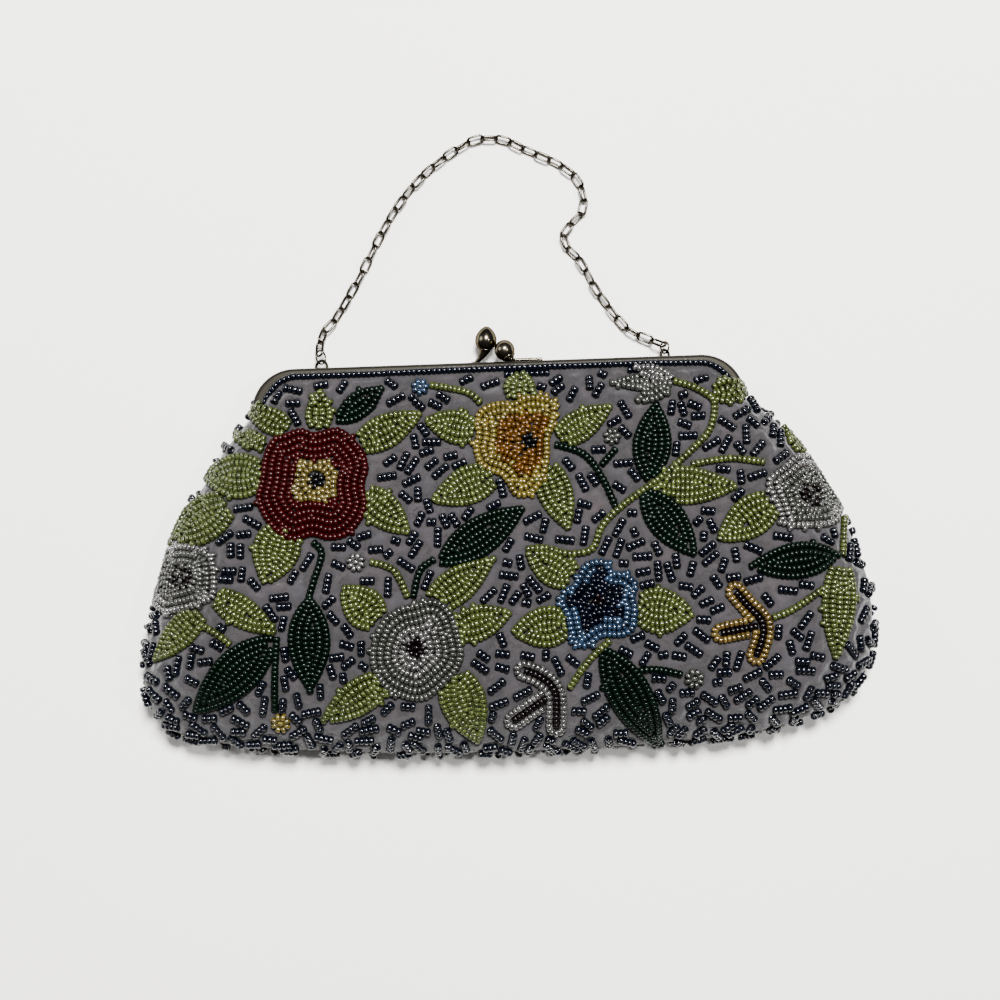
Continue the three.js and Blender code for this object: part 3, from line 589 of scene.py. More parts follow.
def on_cloth(plan, side):
    """Points on the cloth over the plan, and the way the cloth faces there.

    The slope is taken over a short reach to each side, and over less near the sewn edge.
    """
    most_reach, share_of_room, least_room = 0.15, 0.4, 0.02
    plan = np.atleast_2d(np.asarray(plan, float))
    room = np.maximum(distance_to_sewn(plan) - tuck_of(side), least_room)
    reach = np.minimum(most_reach, share_of_room * room)[:, None]
    height = cloth_height(plan, side)
    east, south = reach * (1, 0), reach * (0, 1)
    slope_x = (cloth_height(plan + east, side) - cloth_height(plan - east, side)) / (2 * reach[:, 0])
    slope_y = (cloth_height(plan + south, side) - cloth_height(plan - south, side)) / (2 * reach[:, 0])
    facing = np.stack((-slope_x, slope_y, np.ones(len(plan))), axis=-1)
    if side == "back":
        facing = -facing
    return np.stack((plan[:, 0], -plan[:, 1], height), axis=-1), unit(facing)


def kept_inside(plan, side, margin=0.35):
    """Moves what lies over the sewn edge back onto the cloth."""
    plan = np.array(plan, float)
    least = tuck_of(side) + margin
    inner = inset_line(SEWN_LINE, least)
    for k in np.flatnonzero(distance_to_sewn(plan) < least):
        plan[k] = inner[np.linalg.norm(SEWN_LINE - plan[k], axis=1).argmin()]
    return plan


def from_chart(points):
    """Chart places as places on the bag's plan, x and down."""
    points = np.atleast_2d(np.asarray(points, float)) - CHART_ORIGIN
    c, s = math.cos(CHART_TURN), math.sin(CHART_TURN)
    turned = (points[:, 0] * c - points[:, 1] * s, points[:, 0] * s + points[:, 1] * c)
    seen = CHART_UNIT * np.stack(turned, axis=-1)
    plan = seen
    for _ in range(CHART_ROUNDS):
        share = (CHART_EYE - cloth_height(plan, "front")) / (CHART_EYE - CHART_LEVEL)
        plan = CHART_CENTRE + (seen - CHART_CENTRE) * share[:, None]
    return plan


def to_row_frame(points):
    return (np.asarray(points, float) + (MIDDLE_X, TOP_Y, 0)) * MM


# Meshes


def fill_in(items, key, values):
    """Gives each item of a mesh its own number or numbers."""
    items.foreach_set(key, np.asarray(values, np.float32).ravel())


def store(mesh, name, values):
    """Keeps a value for each point of a mesh, which its material can read."""
    fill_in(mesh.attributes.new(name, "FLOAT", "POINT").data, "value", values)


def lay_map(mesh, name, places):
    """Keeps a map place for each corner of a mesh's faces."""
    fill_in(mesh.uv_layers.new(name=name).data, "uv", places)


def piece_from(name, points, quads, materials, caps=()):
    """Makes a smooth mesh piece from points in millimetres, rows of four corners, and end caps."""
    mesh = bpy.data.meshes.new(name)
    quads = np.asarray(quads, np.int32).reshape(-1, 4)
    corners = np.concatenate([quads.ravel(), *[np.asarray(cap, np.int32) for cap in caps]])
    counts = np.concatenate((np.full(len(quads), 4), [len(cap) for cap in caps])).astype(np.int32)
    mesh.vertices.add(len(points))
    fill_in(mesh.vertices, "co", to_row_frame(points))
    mesh.loops.add(len(corners))
    mesh.loops.foreach_set("vertex_index", corners.astype(np.int32))
    mesh.polygons.add(len(counts))
    mesh.polygons.foreach_set("loop_start", np.cumsum(counts, dtype=np.int32) - counts)
    mesh.polygons.foreach_set("use_smooth", np.ones(len(counts), bool))
    mesh.update(calc_edges=True)
    for material in materials:
        mesh.materials.append(material)
    piece = bpy.data.objects.new(name, mesh)
    bpy.context.scene.collection.objects.link(piece)
    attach(piece, BODY)
    return piece


def grid_quads(rows, columns, wrap_rows=False, wrap_columns=False, start=0):
    """Corners of the faces of a grid of points, row after row."""
    j, i = np.meshgrid(
        np.arange(rows if wrap_rows else rows - 1), np.arange(columns if wrap_columns else columns - 1),
        indexing="ij")
    j2, i2 = (j + 1) % rows, (i + 1) % columns
    quads = np.stack((j * columns + i, j * columns + i2, j2 * columns + i2, j2 * columns + i), axis=-1)
    return start + quads.reshape(-1, 4)


class Parts:
    """Grids of points that become one mesh."""

    def __init__(self):
        self.points = []
        self.quads = []
        self.caps = []
        self.count = 0

    def add(self, grid, wrap_rows=False, wrap_columns=True, capped=True, flip=False):
        rows, columns = grid.shape[:2]
        quads = grid_quads(rows, columns, wrap_rows, wrap_columns, self.count)
        self.quads.append(quads[:, ::-1] if flip else quads)
        if capped and wrap_columns and not wrap_rows:
            first = list(range(self.count, self.count + columns))
            final = list(range(self.count + (rows - 1) * columns, self.count + rows * columns))
            self.caps += [first, final[::-1]] if flip else [first[::-1], final]
        self.points.append(grid.reshape(-1, 3))
        self.count += rows * columns
        return self

    def piece(self, name, materials):
        points, quads = np.concatenate(self.points), np.concatenate(self.quads)
        return piece_from(name, points, quads, materials, self.caps)


def tube(path, radius, sides, closed=False, up=(0, 0, 1)):
    """A grid of rings of points round a path. radius is one number or one for each point."""
    path = np.asarray(path, float)
    if closed:
        along = unit(np.roll(path, -1, axis=0) - np.roll(path, 1, axis=0))
    else:
        along = unit(np.gradient(path, axis=0))
    side = unit(np.cross(along, np.broadcast_to(up, path.shape)))
    over = np.cross(side, along)
    ring = circle(sides) @ np.stack((side, over), axis=1)
    return path[:, None, :] + np.broadcast_to(radius, len(path))[:, None, None] * ring


# Shader maths


class Wire:
    """A value on its way through a material's nodes, which takes part in arithmetic."""

    def __init__(self, finish, socket):
        self.finish = finish
        self.socket = socket

    def maths(self, operation, first, second=0.0):
        return self.finish.node("ShaderNodeMath", {"operation": operation}, {0: first, 1: second})

    def __add__(self, other):
        return self.maths("ADD", self, other)

    def __radd__(self, other):
        return self.maths("ADD", other, self)

    def __sub__(self, other):
        return self.maths("SUBTRACT", self, other)

    def __rsub__(self, other):
        return self.maths("SUBTRACT", other, self)

    def __mul__(self, other):
        return self.maths("MULTIPLY", self, other)

    def __rmul__(self, other):
        return self.maths("MULTIPLY", other, self)

    def __truediv__(self, other):
        return self.maths("DIVIDE", self, other)

    def __pow__(self, other):
        return self.maths("POWER", self, other)

    def sine(self):
        return self.maths("SINE", self)

    def absolute(self):
        return self.maths("ABSOLUTE", self)

    def held(self):
        """The value kept from 0 to 1."""
        return self.finish.node("ShaderNodeClamp", {}, {0: self, 1: 0.0, 2: 1.0})


class Finish:
    """A material under construction."""

    def __init__(self, name, **constants):
        self.material = bpy.data.materials.new(name)
        self.material.use_nodes = True
        self.tree = self.material.node_tree
        self.shader = self.tree.nodes["Principled BSDF"]
        for key, value in constants.items():
            self.shader.inputs[key.replace("_", " ").title().replace("Ior", "IOR")].default_value = value

    def node(self, kind, settings, sockets, out=0):
        """Adds a node, with its settings first, then the values or links of its sockets."""
        made = self.tree.nodes.new(kind)
        stops = settings.get("stops")
        for key, value in settings.items():
            if key != "stops":
                setattr(made, key, value)
        if stops:
            elements = made.color_ramp.elements
            while len(elements) < len(stops):
                elements.new(0.5)
            for element, (position, colour) in zip(elements, stops):
                element.position = position
                element.color = colour
        for key, value in sockets.items():
            self.put(made.inputs[key], value)
        return Wire(self, made.outputs[out])

    def put(self, socket, value):
        if isinstance(value, Wire):
            self.tree.links.new(value.socket, socket)
        else:
            socket.default_value = value

    def drive(self, name, value):
        self.put(self.shader.inputs[name], value)

    def mixed(self, share, first, second):
        return self.node(
            "ShaderNodeMix", {"data_type": "RGBA"}, {0: share, 6: first, 7: second}, out=2)

    def place(self):
        return self.node("ShaderNodeTexCoord", {}, {}, out=3)

    def grain(self, scale, detail=2.0, place=None, roughness=0.5):
        return self.node(
            "ShaderNodeTexNoise", {},
            {"Vector": place or self.place(), "Scale": scale, "Detail": detail, "Roughness": roughness})

    def stored(self, name):
        return self.node("ShaderNodeAttribute", {"attribute_name": name}, {}, out=2)

    def relief(self, height, distance, strength=1.0):
        sockets = {"Strength": strength, "Distance": distance, "Height": height}
        self.drive("Normal", self.node("ShaderNodeBump", {}, sockets))


def solid_colour(colour, share=1.0):
    return (*(min(1.0, channel * share) for channel in colour), 1.0)


# The coat bends light far more than glass does, so that beads glint at the middle and stay dark at
# the rim
COAT_REFRACTION = 4.0
COAT_ROUGHNESS = 0.09
# Painted glints inside a bead, which stand for light off its silver lining: their grain, which the
# bump shares too, the level that they start from and how much the lining lowers it, and how sharp
# their edges are
GLINT_AND_BUMP_GRAIN = 1500.0
GLINT_LEVEL = 0.74
GLINT_SPREAD = 0.45
GLINT_CONTRAST = 9.0
# How much the painted glints, each bead's own random tone and the painted light on its outer face
# lighten its colour
PAINTED_GLINT_SHARE = 0.80
TONE_LIGHT = 0.25
OUTSIDE_LIGHT_SHARE = 0.10
BEAD_FINISH = {
    # name: metallic, roughness, coat, share of the colour in the painted-light copy, share in the
    # painted-shade copy, how much the lining adds to the painted glints
    "hematite": (0.0, 0.20, 0.10, 1.8, 0.6, 0.10),
    "edge_dark": (0.0, 0.20, 0.045, 1.8, 0.6, 0.10),
    "ruby": (0.0, 0.30, 0.011, 1.9, 0.60, 0.15),
    "olive_gold": (0.20, 0.25, 0.15, 3.0, 0.45, 0.42),
    "jet": (0.0, 0.30, 0.016, 1.5, 0.6, 0.05),
    "straw": (0.20, 0.25, 0.12, 3.0, 0.50, 0.42),
    "amber": (0.15, 0.25, 0.05, 2.8, 0.50, 0.35),
    "sky": (0.15, 0.22, 0.13, 3.4, 0.45, 0.38),
    "navy": (0.05, 0.25, 0.015, 2.8, 0.50, 0.22),
    "smoke": (0.20, 0.22, 0.11, 3.0, 0.50, 0.40),
    "silver": (0.25, 0.22, 0.24, 3.3, 0.28, 0.44),
    "maroon": (0.0, 0.30, 0.016, 2.2, 0.6, 0.10),
    "gold": (0.20, 0.25, 0.16, 3.2, 0.42, 0.44),
    "leaf_light": (0.20, 0.22, 0.10, 3.4, 0.48, 0.40),
    "leaf_dark": (0.0, 0.30, 0.010, 2.2, 0.55, 0.15),
}


def material_named(name, make, *details):
    """The material of this name, which is made when it is first asked for."""
    return bpy.data.materials.get(name) or make(name, *details).material


def bead_glass(name, kind):
    """Glass of one colour, with painted shade at its holes and ends, and small painted glints that stand
    for light off its lining.
    """
    metallic, roughness, coat, light, dark, lining = BEAD_FINISH[kind]
    colour = getattr(purse_colours(), kind)
    glass = Finish(
        name, metallic=metallic, coat_weight=coat, coat_ior=COAT_REFRACTION,
        coat_roughness=COAT_ROUGHNESS, specular_ior_level=0.1)
    tone, waist = glass.stored("tone"), glass.stored("waist")
    spots = glass.grain(GLINT_AND_BUMP_GRAIN, detail=1.0)
    # Painted glints: spots of lighter colour, standing for light off the lining, only on the outer face
    lit = ((spots - (GLINT_LEVEL - lining * GLINT_SPREAD)) * GLINT_CONTRAST).held()
    share = (lit * PAINTED_GLINT_SHARE * waist + tone * TONE_LIGHT + waist * OUTSIDE_LIGHT_SHARE).held()
    # The colour runs from a painted-shade copy, at the holes and ends, to a painted-light copy at the
    # glints
    glass.drive("Base Color", glass.mixed(share, solid_colour(colour, dark), solid_colour(colour, light)))
    glass.drive("Roughness", roughness + (tone - 0.5) * 0.08)
    glass.relief(spots, 0.00002 + 0.0001 * lining, 0.5)
    return glass


# The cloth's surface: slubs, broad clouds, mottle between stitches and crumples
CLOTH_GRAINS = (
    # cells to a metre, detail, share in the shade, share in the relief
    (900.0, 3.0, 0.40, 0.25),
    (70.0, 3.0, 0.90, 0.0),
    (260.0, 2.0, 0.90, 0.0),
    (330.0, 3.0, 0.0, 1.2),
)
CREASE_CELLS = 170.0
CREASE_EDGE = 9.0


def woven_cloth(name):
    """Plain weave in grey-mauve, with slubs, cloudy tone and creases, painted light on its puffs, painted
    shade in its creases and painted shadow under and round the beads, and thread crossings a little
    smoother with wear.
    """
    colour = purse_colours().cloth
    cloth = Finish(name, metallic=0.0, sheen_weight=0.25, sheen_roughness=0.5)
    weave = weave_of(cloth)
    crease = creases_of(cloth)
    # Painted light on the puffs and painted shade in the creases; the grains below add the cloth's own
    # tone
    shade = weave * 0.30 + cloth.stored("puff") * 0.70 - crease * 0.60 - 0.92
    height = weave * 0.25 - crease * 0.4
    for cells, detail, in_shade, in_relief in CLOTH_GRAINS:
        grain = cloth.grain(cells, detail=detail)
        shade = shade + grain * in_shade
        height = height + grain * in_relief
    warmth = ((cloth.grain(120.0) - 0.5) * 3.0 + 0.5).held()
    red, green, blue = colour
    # Painted-light copies of the colour in two hues, and a painted-shade copy, which the shade mixes
    # between
    cool = solid_colour((red * 0.92, green, blue * 1.10), 1.55)
    warm = solid_colour((red * 1.12, green, blue * 0.94), 1.55)
    lit = cloth.mixed(shade.held(), solid_colour(colour, 0.35), cloth.mixed(warmth, cool, warm))
    # Painted shadow: under and round the beads the cloth darkens towards a near-black copy of its colour
    cloth.drive("Base Color", cloth.mixed(cloth.stored("open"), solid_colour(colour, 0.22), lit))
    cloth.drive("Roughness", 0.95 - weave * 0.12)
    cloth.relief(height, 0.00035, 0.8)
    return cloth


def weave_of(cloth):
    """High in the middle of each crossing of threads, and 0 between them."""
    turns = math.pi / (purse_sizes().thread / MM)
    lie = cloth.node("ShaderNodeUVMap", {"uv_map": "threads"}, {})
    warp = cloth.node("ShaderNodeSeparateXYZ", {}, {0: lie})
    weft = Wire(cloth, warp.socket.node.outputs[1])
    return ((warp * turns).sine() * (weft * turns).sine()).absolute()


def creases_of(cloth):
    """Thin bent lines with breaks in them: 1 on a line and 0 away from it."""
    place = cloth.place()
    drift = cloth.node("ShaderNodeTexNoise", {}, {"Vector": place, "Scale": 260.0, "Detail": 2.0}, out=1)
    bending = {"data_type": "RGBA", "blend_type": "LINEAR_LIGHT"}
    bent = cloth.node("ShaderNodeMix", bending, {0: 0.006, 6: place, 7: drift}, out=2)
    cells = cloth.node(
        "ShaderNodeTexVoronoi", {"feature": "DISTANCE_TO_EDGE"}, {"Vector": bent, "Scale": CREASE_CELLS})
    line = 1.0 - (cells * CREASE_EDGE).held()
    return line * ((cloth.grain(240.0, detail=1.0) - 0.42) * 5.0).held()


def plated_metal(name, colour, roughness, edge=1.0):
    """Dark plated metal with a fine brushed grain and lighter worn patches.

    edge is how much of the light its rim mirrors.
    """
    metal = Finish(name, metallic=1.0, specular_tint=(edge, edge, edge, 1.0))
    smear = metal.grain(160.0, detail=4.0, roughness=0.6)
    fine = metal.grain(2600.0, detail=2.0)
    worn = ((smear - 0.5) * 1.5 + 0.5).held()
    metal.drive("Base Color", metal.mixed(worn, solid_colour(colour, 0.75), solid_colour(colour, 1.35)))
    metal.drive("Roughness", roughness + worn * 0.10)
    metal.relief(fine, 0.00001, 0.5)
    return metal.material


# Beads

BEAD_SIDES = 8
# Round the section of a bead: along its hole as a share of the length, and out from it
BEAD_SECTION = np.array(((-0.22, 1.0), (0.22, 1.0), (0.50, 0.78), (0.0, 0.36), (-0.50, 0.78)))
# Beads bulge over their neighbours in the row and in the next row
BEAD_BULGE = 1.10
# How much painted light each place of a bead's section gets: full on its outer face, a little at its
# ends, none in the hole, which stays in painted shade
SECTION_PAINTED_LIGHT = np.array((1.0, 1.0, 0.25, 0.0, 0.25))
# How beads vary: the lean of their axis over and in the cloth, and their size
LEAN_OVER = 0.07
LEAN_IN = 0.05
SIZE_SPREAD = 0.03
LENGTH_MEAN = 1.02
# Single beads that fill a gap keep this far from the sewn edge, and fewer lie on a steep face
FILL_MARGIN = 0.4
STEEP_FILL = (0.3, 0.85)
RING_ROOM = 0.6
# The least height of any bead over the floor
FLOOR_ROOM = 0.02
# Share of a bead's square of the map that is left free at each side
MAP_MARGIN = 0.06


class Taken:
    """The places that are taken by beads, kept by cells of space, which later beads keep clear of."""

    CELL = 2.7
    AROUND = [(i, j, k) for i in (-1, 0, 1) for j in (-1, 0, 1) for k in (-1, 0, 1)]
    FAR = 9.0

    def __init__(self):
        self.centres = []
        self.axes = []
        self.motif = []
        self.cells = {}

    def cell(self, centre):
        return tuple(int(value // self.CELL) for value in centre)

    def add(self, centre, axis, motif):
        self.cells.setdefault(self.cell(centre), []).append(len(self.centres))
        self.centres.append(centre)
        self.axes.append(axis)
        self.motif.append(motif)

    def close(self, centre):
        """The beads in the cell of a place and in the cells round it."""
        i, j, k = self.cell(centre)
        return [each for a, b, c in self.AROUND for each in self.cells.get((i + a, j + b, k + c), ())]

    def nearness(self, centre, axis, length, width):
        """How near the nearest bead is: 1 where the two just touch, less where they would overlap."""
        near = self.close(centre)
        if not near:
            return self.FAR
        gap = np.array([self.centres[each] for each in near]) - centre
        square = (gap * gap).sum(1)
        ahead = (gap * np.array([self.axes[each] for each in near])).sum(1) ** 2
        own = (gap @ axis) ** 2
        share = (ahead + own) / length**2 + (2 * square - ahead - own) / width**2
        return math.sqrt(share.min() / 2)

    def clear(self, centre, from_motif, from_ground):
        """Whether a place is this far from every bead of a motif, and from every other bead."""
        return all(
            math.dist(centre, self.centres[each]) > (from_motif if self.motif[each] else from_ground)
            for each in self.close(centre))


TAKEN = Taken()


class Beadwork:
    """Beads of one size that lie on the cloth, with the colours they are sewn in."""

    def __init__(self, length, width, motif=True):
        self.length = length / MM
        self.width = width / MM
        self.motif = motif
        self.centres = []
        self.axes = []
        self.facings = []
        self.colours = []

    def sew(self, spot, axis, facing, colour, room=0.0):
        """Sews one bead on a spot of the cloth, unless that leaves it too little room.

        colour may be a function of the spot.
        """
        centre = spot + facing * (self.width / 2 - BEAD_SINK)
        if room and TAKEN.nearness(centre, axis, self.length, self.width) < room:
            return
        TAKEN.add(centre, axis, self.motif)
        self.centres.append(centre)
        self.axes.append(axis)
        self.facings.append(facing)
        self.colours.append(colour if isinstance(colour, str) else colour(spot))

    def row(self, plan, colour, side="front", room=ROW_ROOM, closed=False):
        """Sews beads end to end along a line of the plan."""
        line, _ = on_cloth(kept_inside(plan, side), side)
        total = lengths_along(line)[-1]
        count = max(1, round(total / self.length))
        shares = (np.arange(count) + (0.0 if closed else 0.5)) / count
        centres = points_along(line, shares)
        ahead = points_along(line, np.clip(shares + 0.3 / count, 0, 1))
        behind = points_along(line, np.clip(shares - 0.3 / count, 0, 1))
        spots, facings = on_cloth(centres[:, :2] * (1, -1), side)
        for spot, axis, facing in zip(spots, unit(ahead - behind), facings):
            self.sew(spot, axis, facing, colour, room)

    def ring(self, centre, radius, colour, crowd=1.0):
        """Sews a ring of beads round a place of the plan."""
        count = max(1, round(2 * math.pi * radius / self.length * crowd))
        angle = np.linspace(0, 2 * math.pi, count, endpoint=False) + radius
        around = np.stack((np.cos(angle), np.sin(angle)), axis=-1)
        spots, facings = on_cloth(centre + radius * around, "front")
        for spot, facing, turn in zip(spots, facings, angle):
            self.sew(spot, np.array((-math.sin(turn), -math.cos(turn), 0.0)), facing, colour, RING_ROOM)

    def fill(self, outline, heading, colour, rng, tries):
        """Sews single beads wherever an outline still has room for one."""
        low, high = outline.min(0), outline.max(0)
        plan = rng.uniform(low, high, (tries, 2))
        plan = plan[within(plan, outline)]
        plan = plan[distance_to_sewn(plan) > FRONT_TUCK + FILL_MARGIN]
        if not len(plan):
            return
        spots, facings = on_cloth(plan, "front")
        for spot, facing in zip(spots, facings):
            if rng.random() > smooth(facing[2], *STEEP_FILL):
                continue
            ahead = heading(spot)
            axis = unit(ahead - facing * ahead.dot(facing))
            self.sew(spot, axis, facing, colour, FILL_ROOM)

    def piece(self, name, rng):
        """One mesh of all the beads, with a tone for each and a square of the map for each."""
        count = len(self.centres)
        centres, axes, facings = (np.array(part) for part in (self.centres, self.axes, self.facings))
        sides = unit(np.cross(facings, axes))
        facings = np.cross(axes, sides)
        over = rng.normal(0, LEAN_OVER, (count, 1)) * sides
        axes = unit(axes + over + rng.normal(0, LEAN_IN, (count, 1)) * facings)
        sides = unit(np.cross(facings, axes))
        spin = rng.uniform(0, 2 * math.pi, (count, 1, 1, 1))
        angle = np.linspace(0, 2 * math.pi, BEAD_SIDES, endpoint=False).reshape(1, 1, -1, 1) + spin
        length = self.length * rng.normal(LENGTH_MEAN, SIZE_SPREAD, (count, 1, 1, 1))
        width = self.width * BEAD_BULGE * rng.normal(1.0, SIZE_SPREAD, (count, 1, 1, 1))
        along = BEAD_SECTION[:, 0].reshape(1, -1, 1, 1) * length
        out = BEAD_SECTION[:, 1].reshape(1, -1, 1, 1) * width / 2
        axes, sides, facings = (part[:, None, None, :] for part in (axes, sides, facings))
        around = np.cos(angle) * sides + np.sin(angle) * facings
        points = centres[:, None, None, :] + along * axes + out * around
        points[..., 2] = np.maximum(points[..., 2], FLOOR_ROOM)
        rings = len(BEAD_SECTION)
        each = rings * BEAD_SIDES
        one = grid_quads(rings, BEAD_SIDES, True, True)[:, ::-1]
        quads = (one[None] + each * np.arange(count)[:, None, None]).reshape(-1, 4)
        names = sorted(set(self.colours))
        glass = [material_named(kind + "_glass", bead_glass, kind) for kind in names]
        piece = piece_from(name, points.reshape(-1, 3), quads, glass)
        mesh = piece.data
        slots = np.array([names.index(colour) for colour in self.colours], np.int32)
        mesh.polygons.foreach_set("material_index", np.repeat(slots, len(one)))
        store(mesh, "tone", np.repeat(rng.random(count), each))
        # Painted light for each ring of a bead's section, so that the holes and ends stay in painted
        # shade
        store(mesh, "waist", np.tile(np.repeat(SECTION_PAINTED_LIGHT, BEAD_SIDES), count))
        self.map_beads(mesh, count, rings)
        return piece

    def map_beads(self, mesh, count, rings):
        """Lays each bead's faces out in a square of its own, row by row of the map."""
        across = math.ceil(math.sqrt(count))
        cell = np.stack((np.arange(count) % across, np.arange(count) // across), axis=-1)
        j, i = np.meshgrid(np.arange(rings), np.arange(BEAD_SIDES), indexing="ij")
        corner = np.array(((0, 0), (1, 0), (1, 1), (0, 1)))[::-1]
        spot = np.stack((i, j), axis=-1).reshape(-1, 1, 2) + corner
        spot = MAP_MARGIN + (1 - 2 * MAP_MARGIN) * spot / (BEAD_SIDES, rings)
        lay_map(mesh, "OFBake", (cell[:, None, None, :] + spot[None]) / across)


# How often a place for a single bead is tried in a flower and in a leaf
FLOWER_TRIES = 2500
LEAF_TRIES = 700
# The rings of a core lie this share of a bead's width apart, and hold fewer beads near its middle
CORE_STEP = 0.9
CORE_CROWD = 0.9
MIDDLE_CROWD = 0.75
# A ring that is one bead only
POINT_RING = 0.01


def motif_beads():
    sizes = purse_sizes()
    return Beadwork(sizes.bead_length, sizes.bead_width)


def chart_line(points, closed=False):
    """A smooth line of the chart, as places on the bag's plan."""
    return from_chart(spline(points, CHART_STEPS, closed))


def within(plan, outline):
    """Whether each point of the plan lies inside a closed outline."""
    a, b = outline, np.roll(outline, -1, axis=0)
    x, y = plan[:, :1], plan[:, 1:]
    spans = (a[:, 1] > y) != (b[:, 1] > y)
    rise = np.where(np.abs(b[:, 1] - a[:, 1]) < 1e-9, 1e-9, b[:, 1] - a[:, 1])
    crossing = a[:, 0] + (y - a[:, 1]) * (b[:, 0] - a[:, 0]) / rise
    return (spans & (x < crossing)).sum(axis=1) % 2 == 1


def evened(outline, spacing=0.35, fewest=12):
    """A closed outline with points at an even spacing, that runs the same way round as the clock."""
    closed = np.concatenate((outline, outline[:1]))
    count = max(fewest, round(lengths_along(closed)[-1] / spacing))
    even = points_along(closed, np.arange(count) / count)
    ahead = np.roll(even, -1, axis=0)
    area = (even[:, 0] * ahead[:, 1] - ahead[:, 0] * even[:, 1]).sum()
    return even if area > 0 else even[::-1]


def runs_inside(outline, depth, most_gap=1.6, slack=0.04):
    """Lines that run inside an outline at this depth. A narrow outline may have several or none."""
    along = unit(np.roll(outline, -1, axis=0) - np.roll(outline, 1, axis=0))
    moved = outline + depth * np.stack((-along[:, 1], along[:, 0]), axis=-1)
    gaps = np.linalg.norm(moved[:, None] - outline[None], axis=-1).min(axis=1)
    kept = moved[(gaps > depth - slack) & within(moved, outline)]
    if len(kept) < 3:
        return []
    jumps = np.linalg.norm(np.roll(kept, -1, axis=0) - kept, axis=1) > most_gap
    if not jumps.any():
        return [np.concatenate((kept, kept[:1]))]
    kept = np.roll(kept, -(int(np.flatnonzero(jumps)[0]) + 1), axis=0)
    breaks = np.flatnonzero(np.linalg.norm(np.diff(kept, axis=0), axis=1) > most_gap) + 1
    return [run for run in np.split(kept, breaks) if len(run) > 3]


def sew_core(beads, centre, flower):
    """Rings of beads in the middle of a flower, and one ring of another colour round them."""
    radius = flower["core"] * CHART_UNIT - beads.width / 2
    while radius > -0.3:
        crowd = CORE_CROWD if radius > beads.width else MIDDLE_CROWD
        beads.ring(centre, max(radius, POINT_RING), flower["core_colour"], crowd)
        radius -= beads.width * CORE_STEP
    if "ring" in flower:
        inner, outer, ring_colour = flower["ring"]
        beads.ring(centre, (inner + outer) / 2 * CHART_UNIT, ring_colour)


def sew_flower(beads, flower, rng):
    """Fills a flower: its middle first, then rows that follow the outline from outside in."""
    centre = from_chart([flower["centre"]])[0]
    outline = evened(chart_line(flower["outline"], closed=True))
    sew_core(beads, centre, flower)
    inner_colour, inner_outline = flower.get("inner", (None, None))
    if inner_outline:
        inner_outline = evened(chart_line(inner_outline, closed=True))
    offset = outline - centre
    reach = np.linalg.norm(offset, axis=1)

    def colour(spot):
        at = spot[:2] * (1, -1)
        if inner_outline is not None and within(at[None], inner_outline)[0]:
            return inner_colour
        at = at - centre
        share = np.linalg.norm(at) / reach[(offset @ at / reach).argmax()]
        return next((name for limit, name in flower["zones"] if share <= limit), flower["zones"][-1][1])

    def heading(spot):
        at = spot[:2] * (1, -1) - centre
        return np.array((-at[1], -at[0], 0.0)) / max(np.linalg.norm(at), 0.1)

    step = beads.width * ROW_STEP
    for row in range(int(reach.max() / step) + 1):
        for run in runs_inside(outline, (row + 0.5) * step):
            beads.row(run, colour, closed=np.allclose(run[0], run[-1]))
    beads.fill(outline, heading, colour, rng, FLOWER_TRIES)


# Shares of the step between a leaf's rows: how much of a row more may still fit in, how far the
# outermost row goes on where the leaf is narrower than a bead, and where its midrib begins
ROW_SLACK = 0.2
EDGE_REACH = 0.35
MIDRIB_FROM = 0.3


def sew_leaf(beads, base, tip, width, colour, rng, start=0.0):
    """Rows that follow both sides of the leaf, the outermost first, then its midrib.

    start is how far along its shape the leaf begins, so that its base may be broad.
    """
    base, tip = from_chart([base, tip])
    along = tip - base
    length = np.linalg.norm(along)
    along = along / length
    across = np.array((-along[1], along[0]))
    half = width * CHART_UNIT / 2
    t = np.linspace(0, 1, 60)
    profile = half * np.sin(math.pi * (start + (1 - start) * t) ** LEAF_LEAN) ** LEAF_FULLNESS
    count = max(1, math.ceil(2 * half / (beads.width * ROW_STEP) - ROW_SLACK))
    step = 2 * half / count

    def line(offset, kept):
        return base + along * (t[kept] * length)[:, None] + across * offset[kept, None]

    for row in range(count // 2):
        offset = profile - (row + 0.5) * step
        kept = offset > (-EDGE_REACH * step if row == 0 else 0.0)
        if kept.sum() > 3:
            for sign in (1, -1):
                beads.row(line(sign * np.maximum(offset, 0.0), kept), colour)
    beads.row(line(np.zeros(len(t)), profile > MIDRIB_FROM * step), colour)
    outline = np.concatenate((line(profile, slice(None)), line(-profile, slice(None))[::-1]))
    heading = np.array((along[0], -along[1], 0.0))
    beads.fill(outline, lambda spot: heading, colour, rng, LEAF_TRIES)


def sew_line(beads, points, colour):
    beads.row(chart_line(points), colour)


def sew_round_bud(beads, centre, radius, colour):
    """One bead with a ring of beads round it."""
    centre = from_chart([centre])[0]
    reach = radius * CHART_UNIT - beads.width / 2
    beads.ring(centre, POINT_RING, colour)
    beads.ring(centre, max(reach, beads.width * 0.8), colour, CORE_CROWD)


def sew_fork(beads, colour, lines):
    """Dark lines, then a row of light beads round them."""
    for line in lines:
        sew_line(beads, line, "maroon")
    turn = np.linspace(-math.pi / 2, math.pi / 2, 9)[:, None]
    for line in lines:
        middle = chart_line(line)
        for sign in (-1, 1):
            beads.row(inset_line(middle, sign * beads.width), colour)
        for end, before in ((middle[-1], middle[-4]), (middle[0], middle[3])):
            way = unit(end - before)
            cross = np.array((-way[1], way[0]))
            beads.row(end + beads.width * (np.cos(turn) * way + np.sin(turn) * cross), colour)


